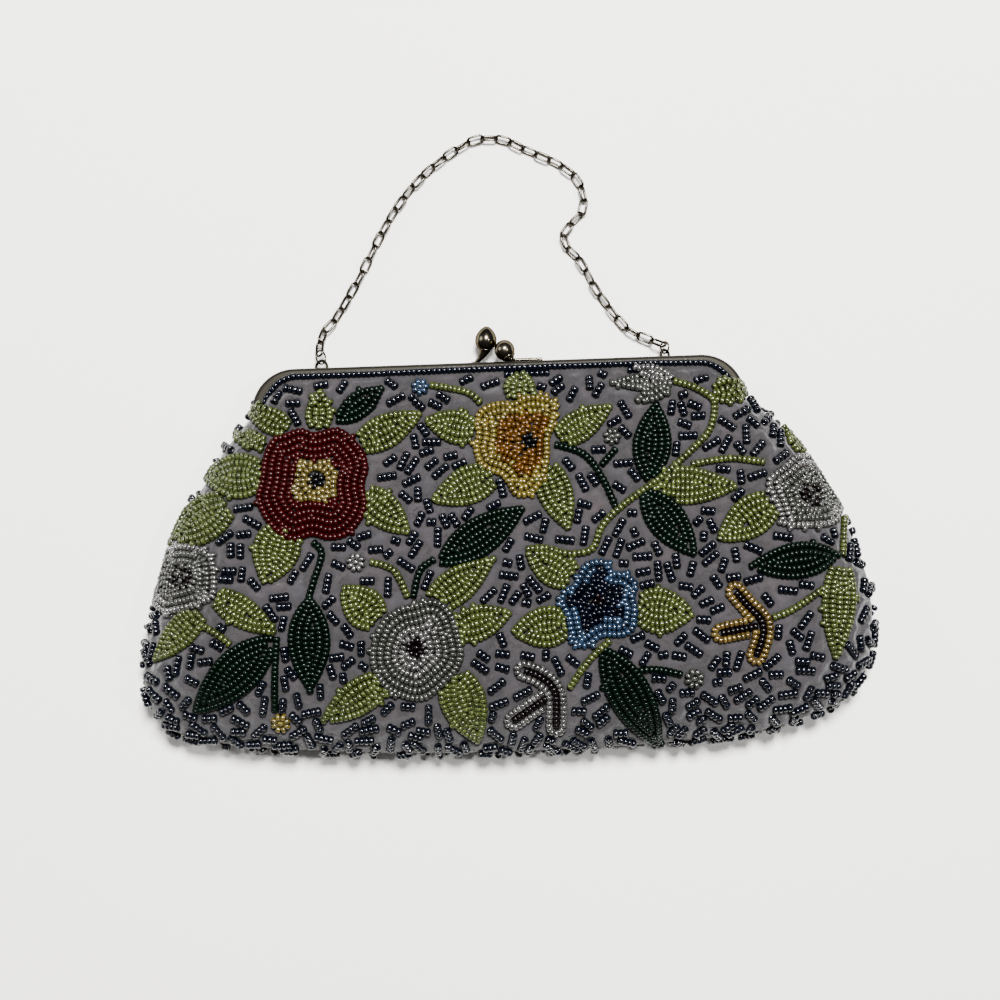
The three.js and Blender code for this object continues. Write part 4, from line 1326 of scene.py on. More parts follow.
class Skin:
    """The smooth faces of the bag, front and back in one, which the ground beads are set on."""

    COLUMNS = 150
    ROWS = 90

    def __init__(self):
        points, faces = [], []
        start = 0
        for side in ("front", "back"):
            grid = cloth_grid(side, self.COLUMNS, self.ROWS)
            quads = grid_quads(*grid.shape[:2], start=start)
            faces.append(quads if side == "back" else quads[:, ::-1])
            points.append(grid.reshape(-1, 3))
            start += len(points[-1])
        self.points = np.concatenate(points)
        self.faces = np.concatenate(faces)
        self.tree = BVHTree.FromPolygons(self.points.tolist(), self.faces.tolist())

    def scatter(self, count, rng):
        """Places spread evenly over the area of the skin."""
        a, b, c, d = (self.points[self.faces[:, k]] for k in range(4))
        area = np.linalg.norm(np.cross(c - a, d - b), axis=1)
        chosen = rng.choice(len(area), count, p=area / area.sum())
        u, v = rng.random((2, count, 1))
        return lerp(lerp(a[chosen], b[chosen], u), lerp(d[chosen], c[chosen], u), v)

    def settle(self, place):
        """The nearest place on the skin and the way the skin faces there."""
        spot, facing, _, _ = self.tree.find_nearest(place)
        return np.array(spot), np.array(facing)


# How steep the skin is, as the upward part of its facing, where groups grow sparse
STEEP_GROUND = (0.3, 0.95)
# Where the back's pieces begin, as the upward part of the skin's facing
BACK_FROM = -0.15
# Of all groups, the shares that have up to two and up to three beads. The rest have four.
UP_TO_TWO = 0.06
UP_TO_THREE = 0.58
GROUP_TURNS = 3
# Any direction that no facing of the skin has
ASKEW = (0.31, 0.92, 0.23)


def sew_ground(skin, rng):
    """Small groups of dark beads, turned any way, that keep clear of each other and the motifs."""
    sizes = purse_sizes()
    front, *backs = (Beadwork(sizes.ground_length, sizes.ground_width, motif=False) for _ in range(3))
    from_motif, from_ground = front.width * MOTIF_ROOM, sizes.group_gap / MM
    for place in skin.scatter(sizes.group_tries, rng):
        if past_mouth(place[None, :2] * (1, -1))[0] < MOUTH_DOWN - 0.2:
            continue
        spot, facing = skin.settle(place)
        sparse = rng.random() > lerp(STEEP_SHARE, 1.0, smooth(abs(facing[2]), *STEEP_GROUND))
        if sparse or not TAKEN.clear(spot, GROUND_START, GROUND_START):
            continue
        first = unit(np.cross(facing, ASKEW))
        second = np.cross(facing, first)
        share = rng.random()
        count = 2 if share < UP_TO_TWO else (4 if share > UP_TO_THREE else 3)
        offsets = (np.arange(count) - (count - 1) / 2) * front.length
        for turn in rng.uniform(0, math.pi, GROUP_TURNS):
            axis = math.cos(turn) * first + math.sin(turn) * second
            group = [skin.settle(spot + offset * axis) for offset in offsets]
            spots, facings = (np.array(part) for part in zip(*group))
            centres = spots + facings * (front.width / 2 - BEAD_SINK)
            if all(TAKEN.clear(centre, from_motif, from_ground) for centre in centres):
                beads = front if facing[2] > BACK_FROM else backs[int(spot[0] > 0)]
                for each_spot, each_facing, way in zip(spots, facings, unit(np.gradient(spots, axis=0))):
                    beads.sew(each_spot, way, each_facing, "hematite")
                break
    return front, backs


def row_inwards(at):
    """How far in from the frame's edge the bead row lies, from its table."""
    return np.interp(at, EDGE_ROW[:, 0], EDGE_ROW[:, 1])


def edge_place(at, inwards):
    """Places this far in from the frame's outer edge, on the plan."""
    turn = np.radians(np.maximum(np.abs(at) - CORNER_CENTRE, 0))
    straight = np.clip(at, -CORNER_CENTRE, CORNER_CENTRE)
    radius = CORNER_RADIUS - inwards
    x = straight + np.sign(at) * radius * np.sin(turn)
    return np.stack((x, CORNER_RADIUS - radius * np.cos(turn)), axis=-1)


def sew_edge_row():
    """A row of dark beads along the frame, lying on its front face, and two short rows under it."""
    beads = Beadwork(EDGE_BEAD_LENGTH * MM, EDGE_BEAD_WIDTH * MM, motif=False)
    above = np.array((0.0, 0.0, 1.0))
    for start, end, inwards in EDGE_ROW_PARTS:
        at = np.linspace(start, end, 900)
        places = edge_place(at, row_inwards(at) + inwards)
        count = round(lengths_along(places)[-1] / beads.length)
        spots = points_along(places, (np.arange(count) + 0.5) / count)
        for (x, down), heading in zip(spots, unit(np.gradient(spots, axis=0))):
            place = np.array((x, -down, FRONT_FACE + BEAD_SINK + 0.05))
            beads.sew(place, np.array((heading[0], -heading[1], 0.0)), above, "edge_dark")
    return beads


# Cloth


def crowded(count, share):
    """Even steps from 0 to 1, moved this share of the way to steps that crowd at both ends."""
    even = np.linspace(0, 1, count + 1)
    return lerp(even, 0.5 - 0.5 * np.cos(math.pi * even), share)


def cloth_plan(columns, rows):
    """A grid over the bag's plan that follows its mouth, sides and bottom."""
    sewn = inset_line(SEWN_LINE, FRONT_TUCK)
    lip = (-CORNER_CENTRE, CORNER_RADIUS) + LIP_RADIUS * arc(90 + GRIP_END, 90, 16) * (1, -1)
    mouth = np.concatenate((sewn[:1], lip, (lip * (-1, 1))[::-1], sewn[-1:]))
    across, down = crowded(columns, 0.6), crowded(rows, 0.55)
    top = points_along(mouth, across)[None]
    bottom = points_along(sewn[LEFT_CORNER:RIGHT_CORNER + 1], across)[None]
    left = points_along(sewn[:LEFT_CORNER + 1], down)[:, None]
    right = points_along(sewn[RIGHT_CORNER:][::-1], down)[:, None]
    s, t = across[None, :, None], down[:, None, None]
    corners = lerp(lerp(top[:, :1], top[:, -1:], s), lerp(bottom[:, :1], bottom[:, -1:], s), t)
    return lerp(top, bottom, t) + lerp(left, right, s) - corners


# Room between the frame's face and the cloth on it, and how far the back's cloth runs into the frame
FACE_GAP = 0.06
CHANNEL_REACH = 2.4


def cloth_grid(side, columns, rows):
    """A grid of points on the smooth cloth. Its first rows go over the frame's lip, or under it."""
    plan = cloth_plan(columns, rows)
    edge = edge_rows_over_lip(plan[0]) if side == "front" else rows_into_channel(plan[0])
    plan = np.concatenate((edge, plan))
    height = cloth_height(plan.reshape(-1, 2), side).reshape(plan.shape[:2])
    if side == "front":
        height[:2] = np.maximum(height[:2], FRONT_FACE + FACE_GAP)
    else:
        height[:2] = height[2]
    return np.stack((plan[..., 0], -plan[..., 1], height), axis=-1)


def rows_into_channel(mouth_row):
    """Two more rows at the top of the back, which run on into the frame's channel."""
    out = np.array((0.0, CORNER_RADIUS)) - mouth_row
    out[:, 0] = np.clip(mouth_row[:, 0], -CORNER_CENTRE, CORNER_CENTRE) - mouth_row[:, 0]
    angle = np.degrees(np.arctan2(np.abs(out[:, 0]), out[:, 1]))
    held = 1 - smooth(angle, GRIP_END - 2, GRIP_END + 10)
    reach = -unit(out) * CHANNEL_REACH * held[:, None]
    return np.stack((mouth_row + reach, mouth_row + reach / 2))


def edge_rows_over_lip(mouth_row):
    """Two more rows at the top of the front, which lie on the frame's face up to the bead row."""
    x, down = mouth_row[:, 0], mouth_row[:, 1]
    across = np.maximum(np.abs(x) - CORNER_CENTRE, 0)
    turn = np.degrees(np.arctan2(across, np.maximum(CORNER_RADIUS - down, 0.01)))
    at = np.clip(x, -CORNER_CENTRE, CORNER_CENTRE) + np.sign(x) * turn
    edge = edge_place(at, row_inwards(at) + 0.1)
    stay = smooth(np.abs(at), CORNER_CENTRE + GRIP_END - 4, CORNER_CENTRE + GRIP_END + 16)[:, None]
    edge = lerp(edge, mouth_row, stay)
    return np.stack((edge, lerp(edge, mouth_row, 0.5)))


# The back's grid has this share of the front's rows and columns
BACK_FINENESS = 0.7
# From bead to bead the cloth rises from where a stitch holds it to where it lies free
FREE_CLOTH = (1.1, 4.2)
# Painted shadow: the cloth is darker this near a bead of a motif, and of the ground
MOTIF_SHADE = (1.0, 1.9)
GROUND_SHADE = (0.5, 1.7)
# The parts of the rise that all free cloth has and that its puffs have
EVEN_RISE = 0.34
PUFF_RISE = 0.66
# The cloth is calm at the sewn edge, at the frame, and near the surface that the purse lies on
CALM_EDGE = 3
CALM_AT_FRAME = 0.2
RESTING = (2.3, 5.0)


def nearest_beads(points):
    """How far the nearest bead is from each point, and whether it is one of a motif."""
    tree = kdtree.KDTree(len(TAKEN.centres))
    for k, centre in enumerate(TAKEN.centres):
        tree.insert(centre, k)
    tree.balance()
    found = [tree.find(point) for point in points]
    return np.array([gap for _, _, gap in found]), np.array(TAKEN.motif)[[k for _, k, _ in found]]


def cloth_piece(side):
    """The cloth of one face, drawn in at every stitch and puffed up a little in between."""
    sizes = purse_sizes()
    front = side == "front"
    scale = 1.0 if front else BACK_FINENESS
    points = cloth_grid(side, round(sizes.cloth_columns * scale), round(sizes.cloth_rows * scale))
    facing = unit(np.cross(np.gradient(points, axis=1), np.gradient(points, axis=0)))
    facing *= np.where((facing[..., 2:] < 0) == front, -1, 1)
    shape = points.shape[:2]
    flat = points.reshape(-1, 3)
    gaps, under_motif = (found.reshape(shape) for found in nearest_beads(flat))
    # Without a seed of its own the vector noise would differ from run to run
    noise.seed_set(SEED)
    puffs = np.array([puff_at(point) for point in flat]).reshape(shape)
    free = smooth(gaps, *FREE_CLOTH)
    inside = distance_to_sewn(flat[:, :2] * (1, -1)).reshape(shape)
    calm = smooth(inside, FRONT_TUCK, FRONT_TUCK + CALM_EDGE)
    rise = sizes.wrinkle / MM * (EVEN_RISE + PUFF_RISE * puffs) * free - sizes.pucker / MM * (1 - free)
    if front:
        rise[:2] *= CALM_AT_FRAME
    else:
        rise *= 0.6 * smooth(points[..., 2], *RESTING) + 0.1
        rise[:3] = 0
    points = points + facing * (rise * calm)[..., None]
    quads = grid_quads(*shape) if not front else grid_quads(*shape)[:, ::-1]
    material = material_named("woven_cloth", woven_cloth)
    piece = piece_from(side + "_cloth", points.reshape(-1, 3), quads, [material])
    # Painted shadow under and round the beads
    shade = np.where(under_motif, smooth(gaps, *MOTIF_SHADE), smooth(gaps, *GROUND_SHADE))
    # Painted light on the puffs and painted shade in the hollows between them
    store(piece.data, "puff", (puffs - 0.35) * free * calm)
    store(piece.data, "open", shade)
    lay_threads(piece.data, points)
    return piece


# Puffs of the cloth: how often they come to a millimetre, how high, and where their pattern starts
PUFFS = (
    (0.13, 0.55, Vector((3.1, 0.0, 7.7))),
    (0.27, 0.35, Vector((9.0, 4.0, 1.0))),
)
PUFF_DRIFT = 2.2
CREASE_SHARPNESS = 4


def puff_at(point):
    """Height from 0 to about 1 of soft puffs with sharp creases between them."""
    place = Vector(point)
    place += PUFF_DRIFT * noise.noise_vector(place * PUFFS[0][0])
    height = 0.10 * noise.noise(place * 0.6)
    for often, high, start in PUFFS:
        swell = abs(noise.noise(place * often + start))
        height += high * math.sqrt(1 - math.exp(-CREASE_SHARPNESS * swell))
    return height


def lay_threads(mesh, points):
    """Maps the cloth by the length of its threads, in millimetres, and once more for the bake."""
    run = np.linalg.norm(np.diff(points, axis=1), axis=-1)
    fall = np.linalg.norm(np.diff(points, axis=0), axis=-1)
    along = np.pad(np.cumsum(run, axis=1), ((0, 0), (1, 0)))
    along -= along[:, along.shape[1] // 2][:, None]
    down = np.pad(np.cumsum(fall, axis=0), ((1, 0), (0, 0)))
    threads = np.stack((along, down), axis=-1).reshape(-1, 2)
    corners = np.empty(len(mesh.loops), np.int32)
    mesh.loops.foreach_get("vertex_index", corners)
    lay_map(mesh, "threads", threads[corners])
    low, high = threads.min(0), threads.max(0)
    lay_map(mesh, "OFBake", ((threads - low) / (high - low).max())[corners])


# Metal


# The frame's lip, as (depth, inwards) from the front corner of the channel's section, the
# eye at the end of each arm, and how far each ear reaches into the frame
LIP = ((0.0, -0.25), (-0.08, -0.07), (-0.25, 0.0))
EYE_RADIUS = 2.4
EYE_BORE = 1.2
EAR_SINK = 0.2


def frame_section(towards):
    """The channel's section: depth from the middle towards its face, and inwards from the edge."""
    near, far = CLEARANCE / 2, CLEARANCE / 2 + FRAME_HALF_DEPTH
    round_edge = (far - FRAME_ROUNDING, FRAME_ROUNDING) + FRAME_ROUNDING * arc(-90, 0, 9)
    lip = (far, FRAME_FACE) + np.array(LIP)
    inner = (
        (far - FRAME_METAL, FRAME_FACE), (far - FRAME_METAL, FRAME_METAL),
        (near + FRAME_METAL, FRAME_METAL), (near + FRAME_METAL, FRAME_FACE), (near, FRAME_FACE),
        (near, 0.0),
    )
    section = np.concatenate((round_edge, lip, inner))
    section[:, 0] = MID_HEIGHT + towards * section[:, 0]
    return section


def frame_stations(arm_down):
    """Points along the frame's outer edge and the way inwards from each."""
    outward = arc(180, 90, 25)
    corner = (-CORNER_CENTRE, -CORNER_RADIUS) + CORNER_RADIUS * outward
    edge = np.concatenate((((-FRAME_HALF_WIDTH, -arm_down),), corner))
    ways = np.concatenate((((1, 0),), -outward))
    return tuple(np.concatenate((half, (half * (-1, 1))[::-1])) for half in (edge, ways))


def hinge_eye(parts, towards, side):
    """The flat eye at the end of an arm."""
    outer = FRAME_HALF_WIDTH - (0 if towards > 0 else FRAME_METAL + CLEARANCE)
    inner = outer - FRAME_METAL
    around = circle(24)
    rings = []
    for radius, x in ((EYE_BORE, outer), (EYE_RADIUS, outer), (EYE_RADIUS, inner), (EYE_BORE, inner)):
        places = (-HINGE_DOWN, MID_HEIGHT) + radius * around
        rings.append(np.column_stack((np.full(len(places), side * x), places)))
    parts.add(np.array(rings), wrap_rows=True, flip=side > 0)


def frame_piece(name, towards, metal):
    """One half of the clasp frame, and the chain's ears on the back one."""
    parts = Parts()
    section = frame_section(towards)
    edge, ways = frame_stations(HINGE_DOWN - EYE_RADIUS)
    grid = np.empty((len(edge), len(section), 3))
    grid[..., :2] = edge[:, None] + section[None, :, 1:] * ways[:, None]
    grid[..., 2] = section[None, :, 0]
    parts.add(grid, flip=towards > 0)
    for side in (-1, 1):
        hinge_eye(parts, towards, side)
    if towards < 0:
        for side in (-1, 1):
            parts.add(tube(ear_path(side), EAR_WIRE / 2, 12, up=ear_up(side)))
    piece = parts.piece(name, [metal])
    sharpen(piece, 38.0)
    return piece


def sharpen(piece, degrees):
    """Keeps the edges that turn more than this sharp."""
    piece.data.set_sharp_from_angle(angle=math.radians(degrees))


def slot_line(towards):
    """The height of the middle of one half of the frame."""
    return MID_HEIGHT + towards * (CLEARANCE / 2 + FRAME_HALF_DEPTH / 2)


def ear_turn(side):
    """The cosine and sine of the turn between an ear and the frame."""
    turn = math.radians(EAR_TURN) * side
    return math.cos(turn), -math.sin(turn)


def ear_up(side):
    c, s = ear_turn(side)
    return (-s, 0.0, c)


def ear_path(side):
    """The middle of an ear's wire: an arch on two legs."""
    ear = EARS[side]
    arch = ear["radius"] * arc(180, 0, 17) + (0, ear["leg"])
    feet = np.array(((-ear["radius"], -EAR_SINK), (ear["radius"], -EAR_SINK)))
    across, up = np.concatenate((feet[:1], arch, feet[1:])).T
    c, s = ear_turn(side)
    return np.stack((ear["x"] + across * c, up, slot_line(-1) + across * s), axis=-1)


def ring_path(side):
    """The middle of a ring's wire. The ring hangs in its ear and leans towards the chain's end."""
    ear = EARS[side]
    end = np.array(CHAIN_ROUTE[0 if side < 0 else -1])
    ear_top = ear["leg"] + ear["radius"] + EAR_WIRE / 2
    lean = math.atan2(end[0] - ear["x"], end[1] + ear_top)
    bottom = ear_top - EAR_WIRE - CLEARANCE - RING_WIRE / 2
    across, up = (ear["ring"] * (circle(40) + (0, 1))).T
    turn = math.radians(RING_TURN) * side
    across, depth = across * math.cos(turn), -across * math.sin(turn)
    return np.stack((
        ear["x"] + across * math.cos(lean) + up * math.sin(lean),
        bottom - across * math.sin(lean) + up * math.cos(lean),
        slot_line(-1) + depth), axis=-1)


def jump_ring(name, side, metal):
    """A round ring of wire in its ear."""
    path = ring_path(side)
    quarter = len(path) // 4
    normal = np.cross(path[quarter] - path[0], path[2 * quarter] - path[0])
    grid = tube(path, RING_WIRE / 2, 12, closed=True, up=unit(normal))
    return Parts().add(grid, wrap_rows=True).piece(name, [metal])


def chain_route():
    """Many points along the chain's route, on a smooth line that has no loops at close bends."""
    points = np.array(CHAIN_ROUTE)
    points = np.concatenate((2 * points[:1] - points[1:2], points, 2 * points[-1:] - points[-2:-1]))
    share = np.linspace(0, 1, 120, endpoint=False)[:, None]
    fine = []
    for p0, p1, p2, p3 in zip(points, points[1:], points[2:], points[3:]):
        d0, d1, d2 = (math.sqrt(np.linalg.norm(b - a)) for a, b in ((p0, p1), (p1, p2), (p2, p3)))
        leaving = ((p1 - p0) / d0 - (p2 - p0) / (d0 + d1) + (p2 - p1) / d1) * d1
        arriving = ((p2 - p1) / d1 - (p3 - p1) / (d1 + d2) + (p3 - p2) / d2) * d1
        fine.append(bend(p1, p2, leaving, arriving, share))
    return np.concatenate([*fine, points[-2:-1]])


def marched(line, spacing):
    """Points of a line, each this far or a little further from the one before."""
    found = [line[0]]
    for point in line:
        if np.linalg.norm(point - found[-1]) >= spacing:
            found.append(point)
    return found


def chain_joints():
    """Where the links bear on each other, evenly spaced along the route."""
    line = chain_route()
    aim = LINK_LENGTH_AIM - 2 * LINK_WIRE + LINK_BITE
    count = len(marched(line, aim))
    low, high = 0.9 * aim, 1.1 * aim
    while high - low > SPACING_SLACK:
        middle = (low + high) / 2
        if len(marched(line, middle)) > count:
            low = middle
        else:
            high = middle
    return np.array(marched(line, low)[:count + 1])


def chain_piece(metal):
    """Oval links of round wire, each turned across the one before."""
    joints = chain_joints()
    radius = (LINK_WIDTH - LINK_WIRE) / 2
    parts = Parts()
    for k, (start, end) in enumerate(zip(joints, joints[1:]), start=1):
        along = unit(end - start)
        length = np.linalg.norm(end - start) + 2 * LINK_WIRE - LINK_BITE
        stretch = length / 2 - radius - LINK_WIRE / 2
        sway = LINK_ROLL_SWAY * math.sin(2 * math.pi * k / LINK_SWAY_EVERY)
        roll = math.radians((LINK_ROLL if k % 2 else -LINK_ROLL) + sway)
        across = unit(np.array((-along[1], along[0], 0.0)))
        side = across * math.cos(roll) + np.cross(along, across) * math.sin(roll)
        bow = (stretch, 0) + radius * arc(-90, 90, 13)
        path = (start + end) / 2 + np.concatenate((bow, -bow)) @ np.stack((along, side))
        wire = tube(path, LINK_WIRE / 2, 8, closed=True, up=np.cross(along, side))
        parts.add(wire, wrap_rows=True)
    return parts.piece("chain_links", [metal])


def lathe(profile, start, way, sides=36):
    """Rings of points round an axis from a profile of (radius, height)."""
    way = unit(np.asarray(way, float))
    side = unit(np.cross(way, (0.2, 0.1, 1.0)))
    ring = circle(sides) @ np.stack((side, np.cross(way, side)))
    profile = np.asarray(profile, float)
    return start + profile[:, None, 1:] * way + profile[:, None, :1] * ring


# Sizes that both knobs share. Cup and foot are profiles of (radius, height), the cup's from the
# collar's height and the foot's from the top of the frame.
STEM_START = 0.55
STEM_GROWTH = 1.35
COLLAR_RADIUS = 1.85
COLLAR_WIRE = 0.32
COLLAR_SHARE = 0.80
CUP = ((0.6, -1.3), (1.1, -1.1), (1.6, -0.45), (1.9, 0.0))
FOOT = ((0.9, -0.2), (1.15, 0.0), (1.2, 0.25), (0.9, 0.45))
FOOT_UP = 0.2
# How much a long ball narrows to its point, for each part that it is longer than round
BALL_NARROWING = 0.8


def knob_piece(name, metal):
    """One knob of the lock: a horn-like stem, a cup with a collar, and its ball."""
    knob = KNOBS[name]
    radius = knob["radius"]
    base_level = slot_line(knob["towards"])
    ball = np.array((*knob["ball"], MID_HEIGHT + knob["level"]))
    levels = np.linspace(base_level, ball[2], 4)
    stem = spline([(*knob[key], level) for key, level in zip(("foot", "bend", "cup"), levels)], 8)
    way = unit(ball - stem[-1])
    parts = Parts()
    parts.add(tube(stem, STEM_START + STEM_GROWTH * np.linspace(0, 1, len(stem)) ** 1.5, 24))
    parts.add(lathe(globe_profile(radius, knob["long"]), ball, way))
    collar = (COLLAR_RADIUS, -radius * COLLAR_SHARE)
    parts.add(lathe(collar + COLLAR_WIRE * circle(12), ball, way), wrap_rows=True)
    parts.add(lathe(np.array(CUP) + (0, collar[1]), ball, way))
    parts.add(lathe(FOOT, np.array((knob["foot"][0], FOOT_UP, base_level)), (0, 1, 0)))
    if knob["strip"]:
        parts.add(strip_grid(knob["foot"][0], knob["strip"], base_level))
    piece = parts.piece(name + "_visual", [metal])
    sharpen(piece, 50.0)
    return piece


def globe_profile(radius, long):
    """A ball that is this many times longer and narrower on its outer side."""
    out, up = arc(-90, 90, 22).T
    narrow = 1 - BALL_NARROWING * (long - 1) * np.clip(up, 0, 1) ** 2
    return np.stack((
        np.maximum(radius * out * narrow, 0.02), radius * np.where(up > 0, long, 1.0) * up), axis=-1)


# The strip beside the front knob: its section across the frame, with a rounded top, and its ends,
# which narrow towards a line of their own
STRIP_MIDDLE = 0.42
STRIP_ROUND = (0.52, 0.9)
STRIP_FOOT = -0.8
STRIP_END = 0.2
STRIP_END_MIDDLE = 0.35
STRIP_TAPER = 0.9


def strip_grid(start, length, level):
    """A narrow strip with a rounded face that lies along the top of the frame."""
    arch = (STRIP_MIDDLE, 0) + arc(0, 180, 9) * STRIP_ROUND
    section = np.concatenate(((arch[0] + (0, STRIP_FOOT),), arch, (arch[-1] + (0, STRIP_FOOT),)))
    x = np.array((start, start + STRIP_END, start + length - STRIP_END, start + length))
    grid = np.empty((len(x), len(section), 3))
    grid[..., 0] = x[:, None]
    grid[..., 1] = section[None, :, 0]
    grid[..., 2] = level + section[None, :, 1]
    grid[[0, -1], :, 1] = lerp(STRIP_END_MIDDLE, grid[[0, -1], :, 1], STRIP_TAPER)
    return grid


# Operators


class PurseOperator:
    """What the purse's operators share."""

    bl_options = {"REGISTER", "UNDO"}

    def execute(self, context):
        if not self.make():
            raise RuntimeError(self.bl_label + " made nothing")
        return {"FINISHED"}


class PURSE_OT_flowers(PurseOperator, bpy.types.Operator):
    """Sews the six large flowers"""

    bl_idname = "purse.flowers"
    bl_label = "Flowers"

    def make(self):
        rng = np.random.default_rng(SEED)
        pieces = []
        for name, flower in FLOWERS.items():
            beads = motif_beads()
            sew_flower(beads, flower, rng)
            pieces.append(beads.piece(name, rng))
        return pieces


class PURSE_OT_buds(PurseOperator, bpy.types.Operator):
    """Sews the round buds, the forked buds and the clear bud"""

    bl_idname = "purse.buds"
    bl_label = "Buds"

    def make(self):
        rng = np.random.default_rng(SEED + 1)
        forks = motif_beads()
        for colour, lines in FORKED_BUDS:
            sew_fork(forks, colour, lines)
        buds = motif_beads()
        for centre, radius, colour in ROUND_BUDS:
            sew_round_bud(buds, centre, radius, colour)
        for base, tip, width, colour in CLEAR_PETALS:
            sew_leaf(buds, base, tip, width, colour, rng)
        return [forks.piece("forked_buds", rng), buds.piece("small_buds", rng)]


class PURSE_OT_stems(PurseOperator, bpy.types.Operator):
    """Sews the dark and light stems"""

    bl_idname = "purse.stems"
    bl_label = "Stems"

    def make(self):
        beads = motif_beads()
        for line in DARK_STEMS:
            sew_line(beads, line, "leaf_dark")
        for line in LIGHT_STEMS:
            sew_line(beads, line, "leaf_light")
        return beads.piece("stems", np.random.default_rng(SEED + 2))


class PURSE_OT_leaves(PurseOperator, bpy.types.Operator):
    """Sews the dark and light leaves"""

    bl_idname = "purse.leaves"
    bl_label = "Leaves"

    def make(self):
        rng = np.random.default_rng(SEED + 3)
        half = len(LIGHT_LEAVES) // 2
        pieces = []
        for name, leaves, colour, start in (
            ("dark_leaves", DARK_LEAVES, "leaf_dark", 0.0),
            ("light_leaves_left", LIGHT_LEAVES[:half], "leaf_light", BROAD_BASE),
            ("light_leaves_right", LIGHT_LEAVES[half:], "leaf_light", BROAD_BASE),
        ):
            beads = motif_beads()
            for base, tip, width in leaves:
                sew_leaf(beads, base, tip, width, colour, rng, start)
            pieces.append(beads.piece(name, rng))
        return pieces


class PURSE_OT_ground(PurseOperator, bpy.types.Operator):
    """Sews the row along the frame and the small groups of dark beads on both faces"""

    bl_idname = "purse.ground"
    bl_label = "Ground beads"

    def make(self):
        rng = np.random.default_rng(SEED + 4)
        pieces = [sew_edge_row().piece("frame_edge_beads", rng)]
        front, backs = sew_ground(Skin(), rng)
        pieces.append(front.piece("ground_beads_front", rng))
        for name, beads in zip(("left", "right"), backs):
            pieces.append(beads.piece("ground_beads_back_" + name, rng))
        return pieces


class PURSE_OT_cloth(PurseOperator, bpy.types.Operator):
    """Makes the cloth of the front and the back, drawn in under the beads"""

    bl_idname = "purse.cloth"
    bl_label = "Cloth"

    def make(self):
        pieces = []
        for side in ("front", "back"):
            piece = cloth_piece(side)
            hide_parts(side + "_panel")
            pieces.append(piece)
        return pieces


class PURSE_OT_clasp(PurseOperator, bpy.types.Operator):
    """Makes the two halves of the clasp frame with its ears, the knobs and the rivets' finish"""

    bl_idname = "purse.clasp"
    bl_label = "Clasp"

    def make(self):
        gunmetal = plated_metal("gunmetal_plate", purse_colours().gunmetal, 0.48)
        polished = plated_metal("knob_plate", purse_colours().knobs, 0.15, 0.25)
        pieces = []
        for node, towards in (("frame_back", -1), ("frame_front", 1)):
            piece = frame_piece("clasp_" + node, towards, gunmetal)
            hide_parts(node)
            pieces.append(piece)
        for node in KNOBS:
            piece = knob_piece(node, polished)
            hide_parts(node)
            pieces.append(piece)
        for node in ("hinge_rivet_left", "hinge_rivet_right"):
            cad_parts[node].material_slots[0].material = gunmetal
        return pieces


class PURSE_OT_chain(PurseOperator, bpy.types.Operator):
    """Makes the chain's links and the two jump rings"""

    bl_idname = "purse.chain"
    bl_label = "Chain"

    def make(self):
        metal = plated_metal("chain_plate", purse_colours().chain, 0.15, 0.25)
        links = chain_piece(metal)
        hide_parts("chain")
        pieces = [links]
        for side, end in ((-1, "left"), (1, "right")):
            ring = jump_ring("chain_ring_" + end, side, metal)
            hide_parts("jump_ring_" + end)
            pieces.append(ring)
        return pieces


CAMERA_LENS = 62.7
# The floor in metres: half its side, and how far it lies under the purse
FLOOR_HALF = 2.0
FLOOR_DROP = 0.0002
LIGHTS = (
    # name, place and size in metres, watts
    ("ceiling_light", (0.10, 0.42, 1.15), 0.30, 64.0),
    ("window_light", (-1.1, 0.35, 0.75), 0.7, 8.0),
    ("lamp_right", (0.55, 0.05, 1.0), 0.10, 5.0),
)
ROOM_COLOUR = (0.95, 0.97, 1.0, 1.0)
ROOM_STRENGTH = 0.10


class PURSE_OT_stage(PurseOperator, bpy.types.Operator):
    """Lays the pale floor and sets the lights and the camera"""

    bl_idname = "purse.stage"
    bl_label = "Floor, lights and camera"

    def make(self):
        floor = floor_piece()
        for light in LIGHTS:
            place_light(*light)
        light_room()
        place_camera()
        return floor


def shown(name, data):
    """A new object in the scene."""
    item = bpy.data.objects.new(name, data)
    bpy.context.scene.collection.objects.link(item)
    return item


def floor_piece():
    """A square floor with a soft cloudy tone."""
    mesh = bpy.data.meshes.new("floor")
    corners = [(x * FLOOR_HALF, y * FLOOR_HALF, 0) for x, y in ((-1, -1), (1, -1), (1, 1), (-1, 1))]
    mesh.from_pydata(corners, [], [(0, 1, 2, 3)])
    paint = Finish("pale_floor", metallic=0.0, specular_ior_level=0.2)
    cloud = paint.grain(3.0)
    colour = purse_colours().floor
    paint.drive("Base Color", paint.mixed(cloud, solid_colour(colour, 0.97), solid_colour(colour, 1.03)))
    paint.drive("Roughness", 0.8 + cloud * 0.1)
    mesh.materials.append(paint.material)
    floor = shown("floor", mesh)
    floor.location.z = -FLOOR_DROP
    return floor


def place_light(name, place, size, watts):
    """A round light that faces the purse."""
    light = bpy.data.lights.new(name, "AREA")
    light.shape = "DISK"
    light.size = size
    light.energy = watts
    holder = shown(name, light)
    holder.location = place
    holder.rotation_mode = "QUATERNION"
    holder.rotation_quaternion = (-Vector(place)).to_track_quat("-Z", "Y")


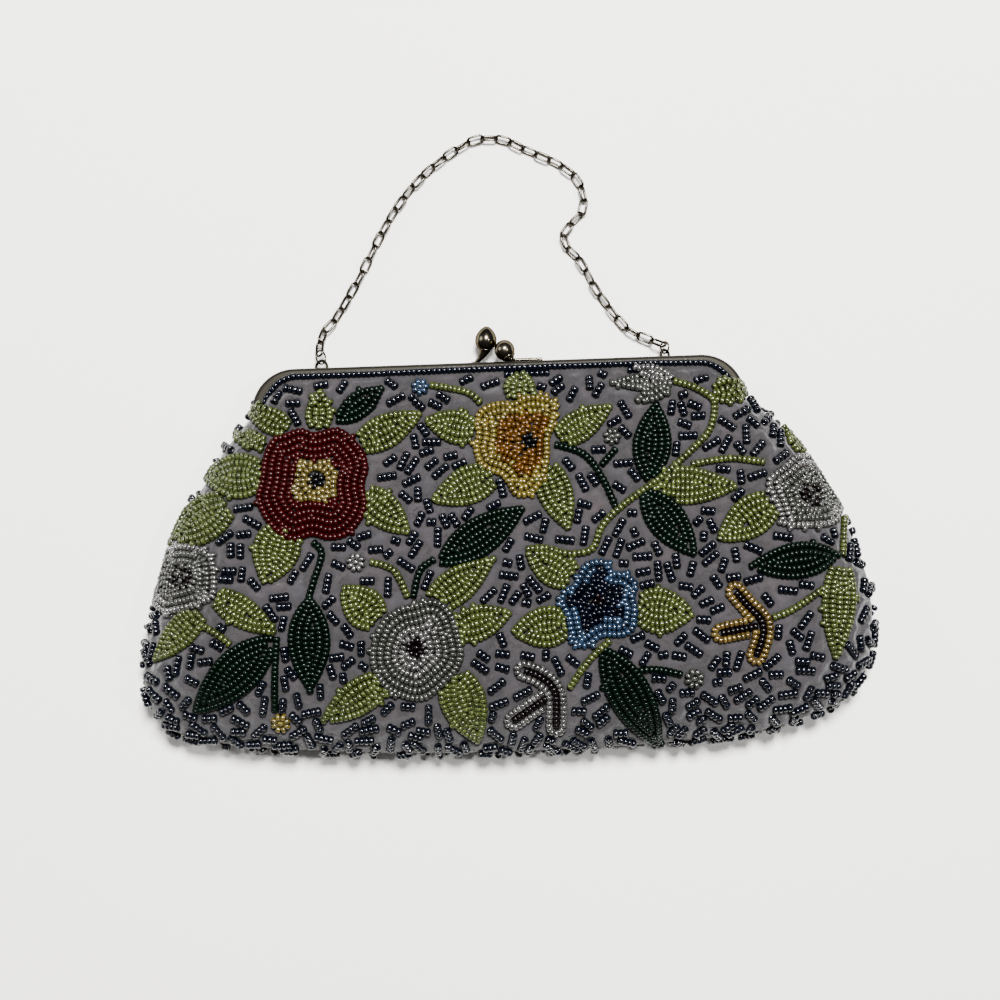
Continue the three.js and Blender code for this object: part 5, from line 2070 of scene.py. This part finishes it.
def light_room():
    """The weak light that comes from all round."""
    world = bpy.data.worlds.new("room")
    world.use_nodes = True
    background = world.node_tree.nodes["Background"]
    background.inputs["Color"].default_value = ROOM_COLOUR
    background.inputs["Strength"].default_value = ROOM_STRENGTH
    bpy.context.scene.world = world


def place_camera():
    """The camera looks down on the purse, turned as the chart is."""
    lens = bpy.data.cameras.new("camera")
    lens.lens = CAMERA_LENS
    lens.clip_start = 0.01
    lens.clip_end = 20.0
    camera = shown("camera", lens)
    aim = to_row_frame((CHART_CENTRE[0], -CHART_CENTRE[1], CHART_LEVEL))
    camera.location = Vector(aim) + Vector((0.0, 0.0, (CHART_EYE - CHART_LEVEL) * MM))
    camera.rotation_mode = "XYZ"
    camera.rotation_euler = (0.0, 0.0, -CHART_TURN)
    bpy.context.scene.camera = camera


class PURSE_PT_sidebar(bpy.types.Panel):
    """Lists the sizes, the colours and the steps"""

    bl_label = "Beaded Purse"
    bl_space_type = "VIEW_3D"
    bl_region_type = "UI"
    bl_category = "Purse"

    def draw(self, context):
        layout = self.layout
        for group in (context.scene.purse_sizes, context.scene.purse_colours):
            box = layout.box()
            for key in group.bl_rna.properties.keys():
                if key not in ("rna_type", "name"):
                    box.prop(group, key)
        for step in STEPS:
            layout.operator(step.bl_idname)


STEPS = (
    PURSE_OT_flowers, PURSE_OT_buds, PURSE_OT_stems, PURSE_OT_leaves, PURSE_OT_ground,
    PURSE_OT_cloth, PURSE_OT_clasp, PURSE_OT_chain, PURSE_OT_stage,
)
CLASSES = (PurseSizes, PurseColours, *STEPS, PURSE_PT_sidebar)


def register():
    for each in CLASSES:
        bpy.utils.register_class(each)
    bpy.types.Scene.purse_sizes = PointerProperty(type=PurseSizes)
    bpy.types.Scene.purse_colours = PointerProperty(type=PurseColours)


def unregister():
    del bpy.types.Scene.purse_colours
    del bpy.types.Scene.purse_sizes
    for each in reversed(CLASSES):
        bpy.utils.unregister_class(each)


def main():
    register()
    for step in STEPS:
        group, name = step.bl_idname.split(".")
        getattr(getattr(bpy.ops, group), name)()


if __name__ == "__main__":
    main()
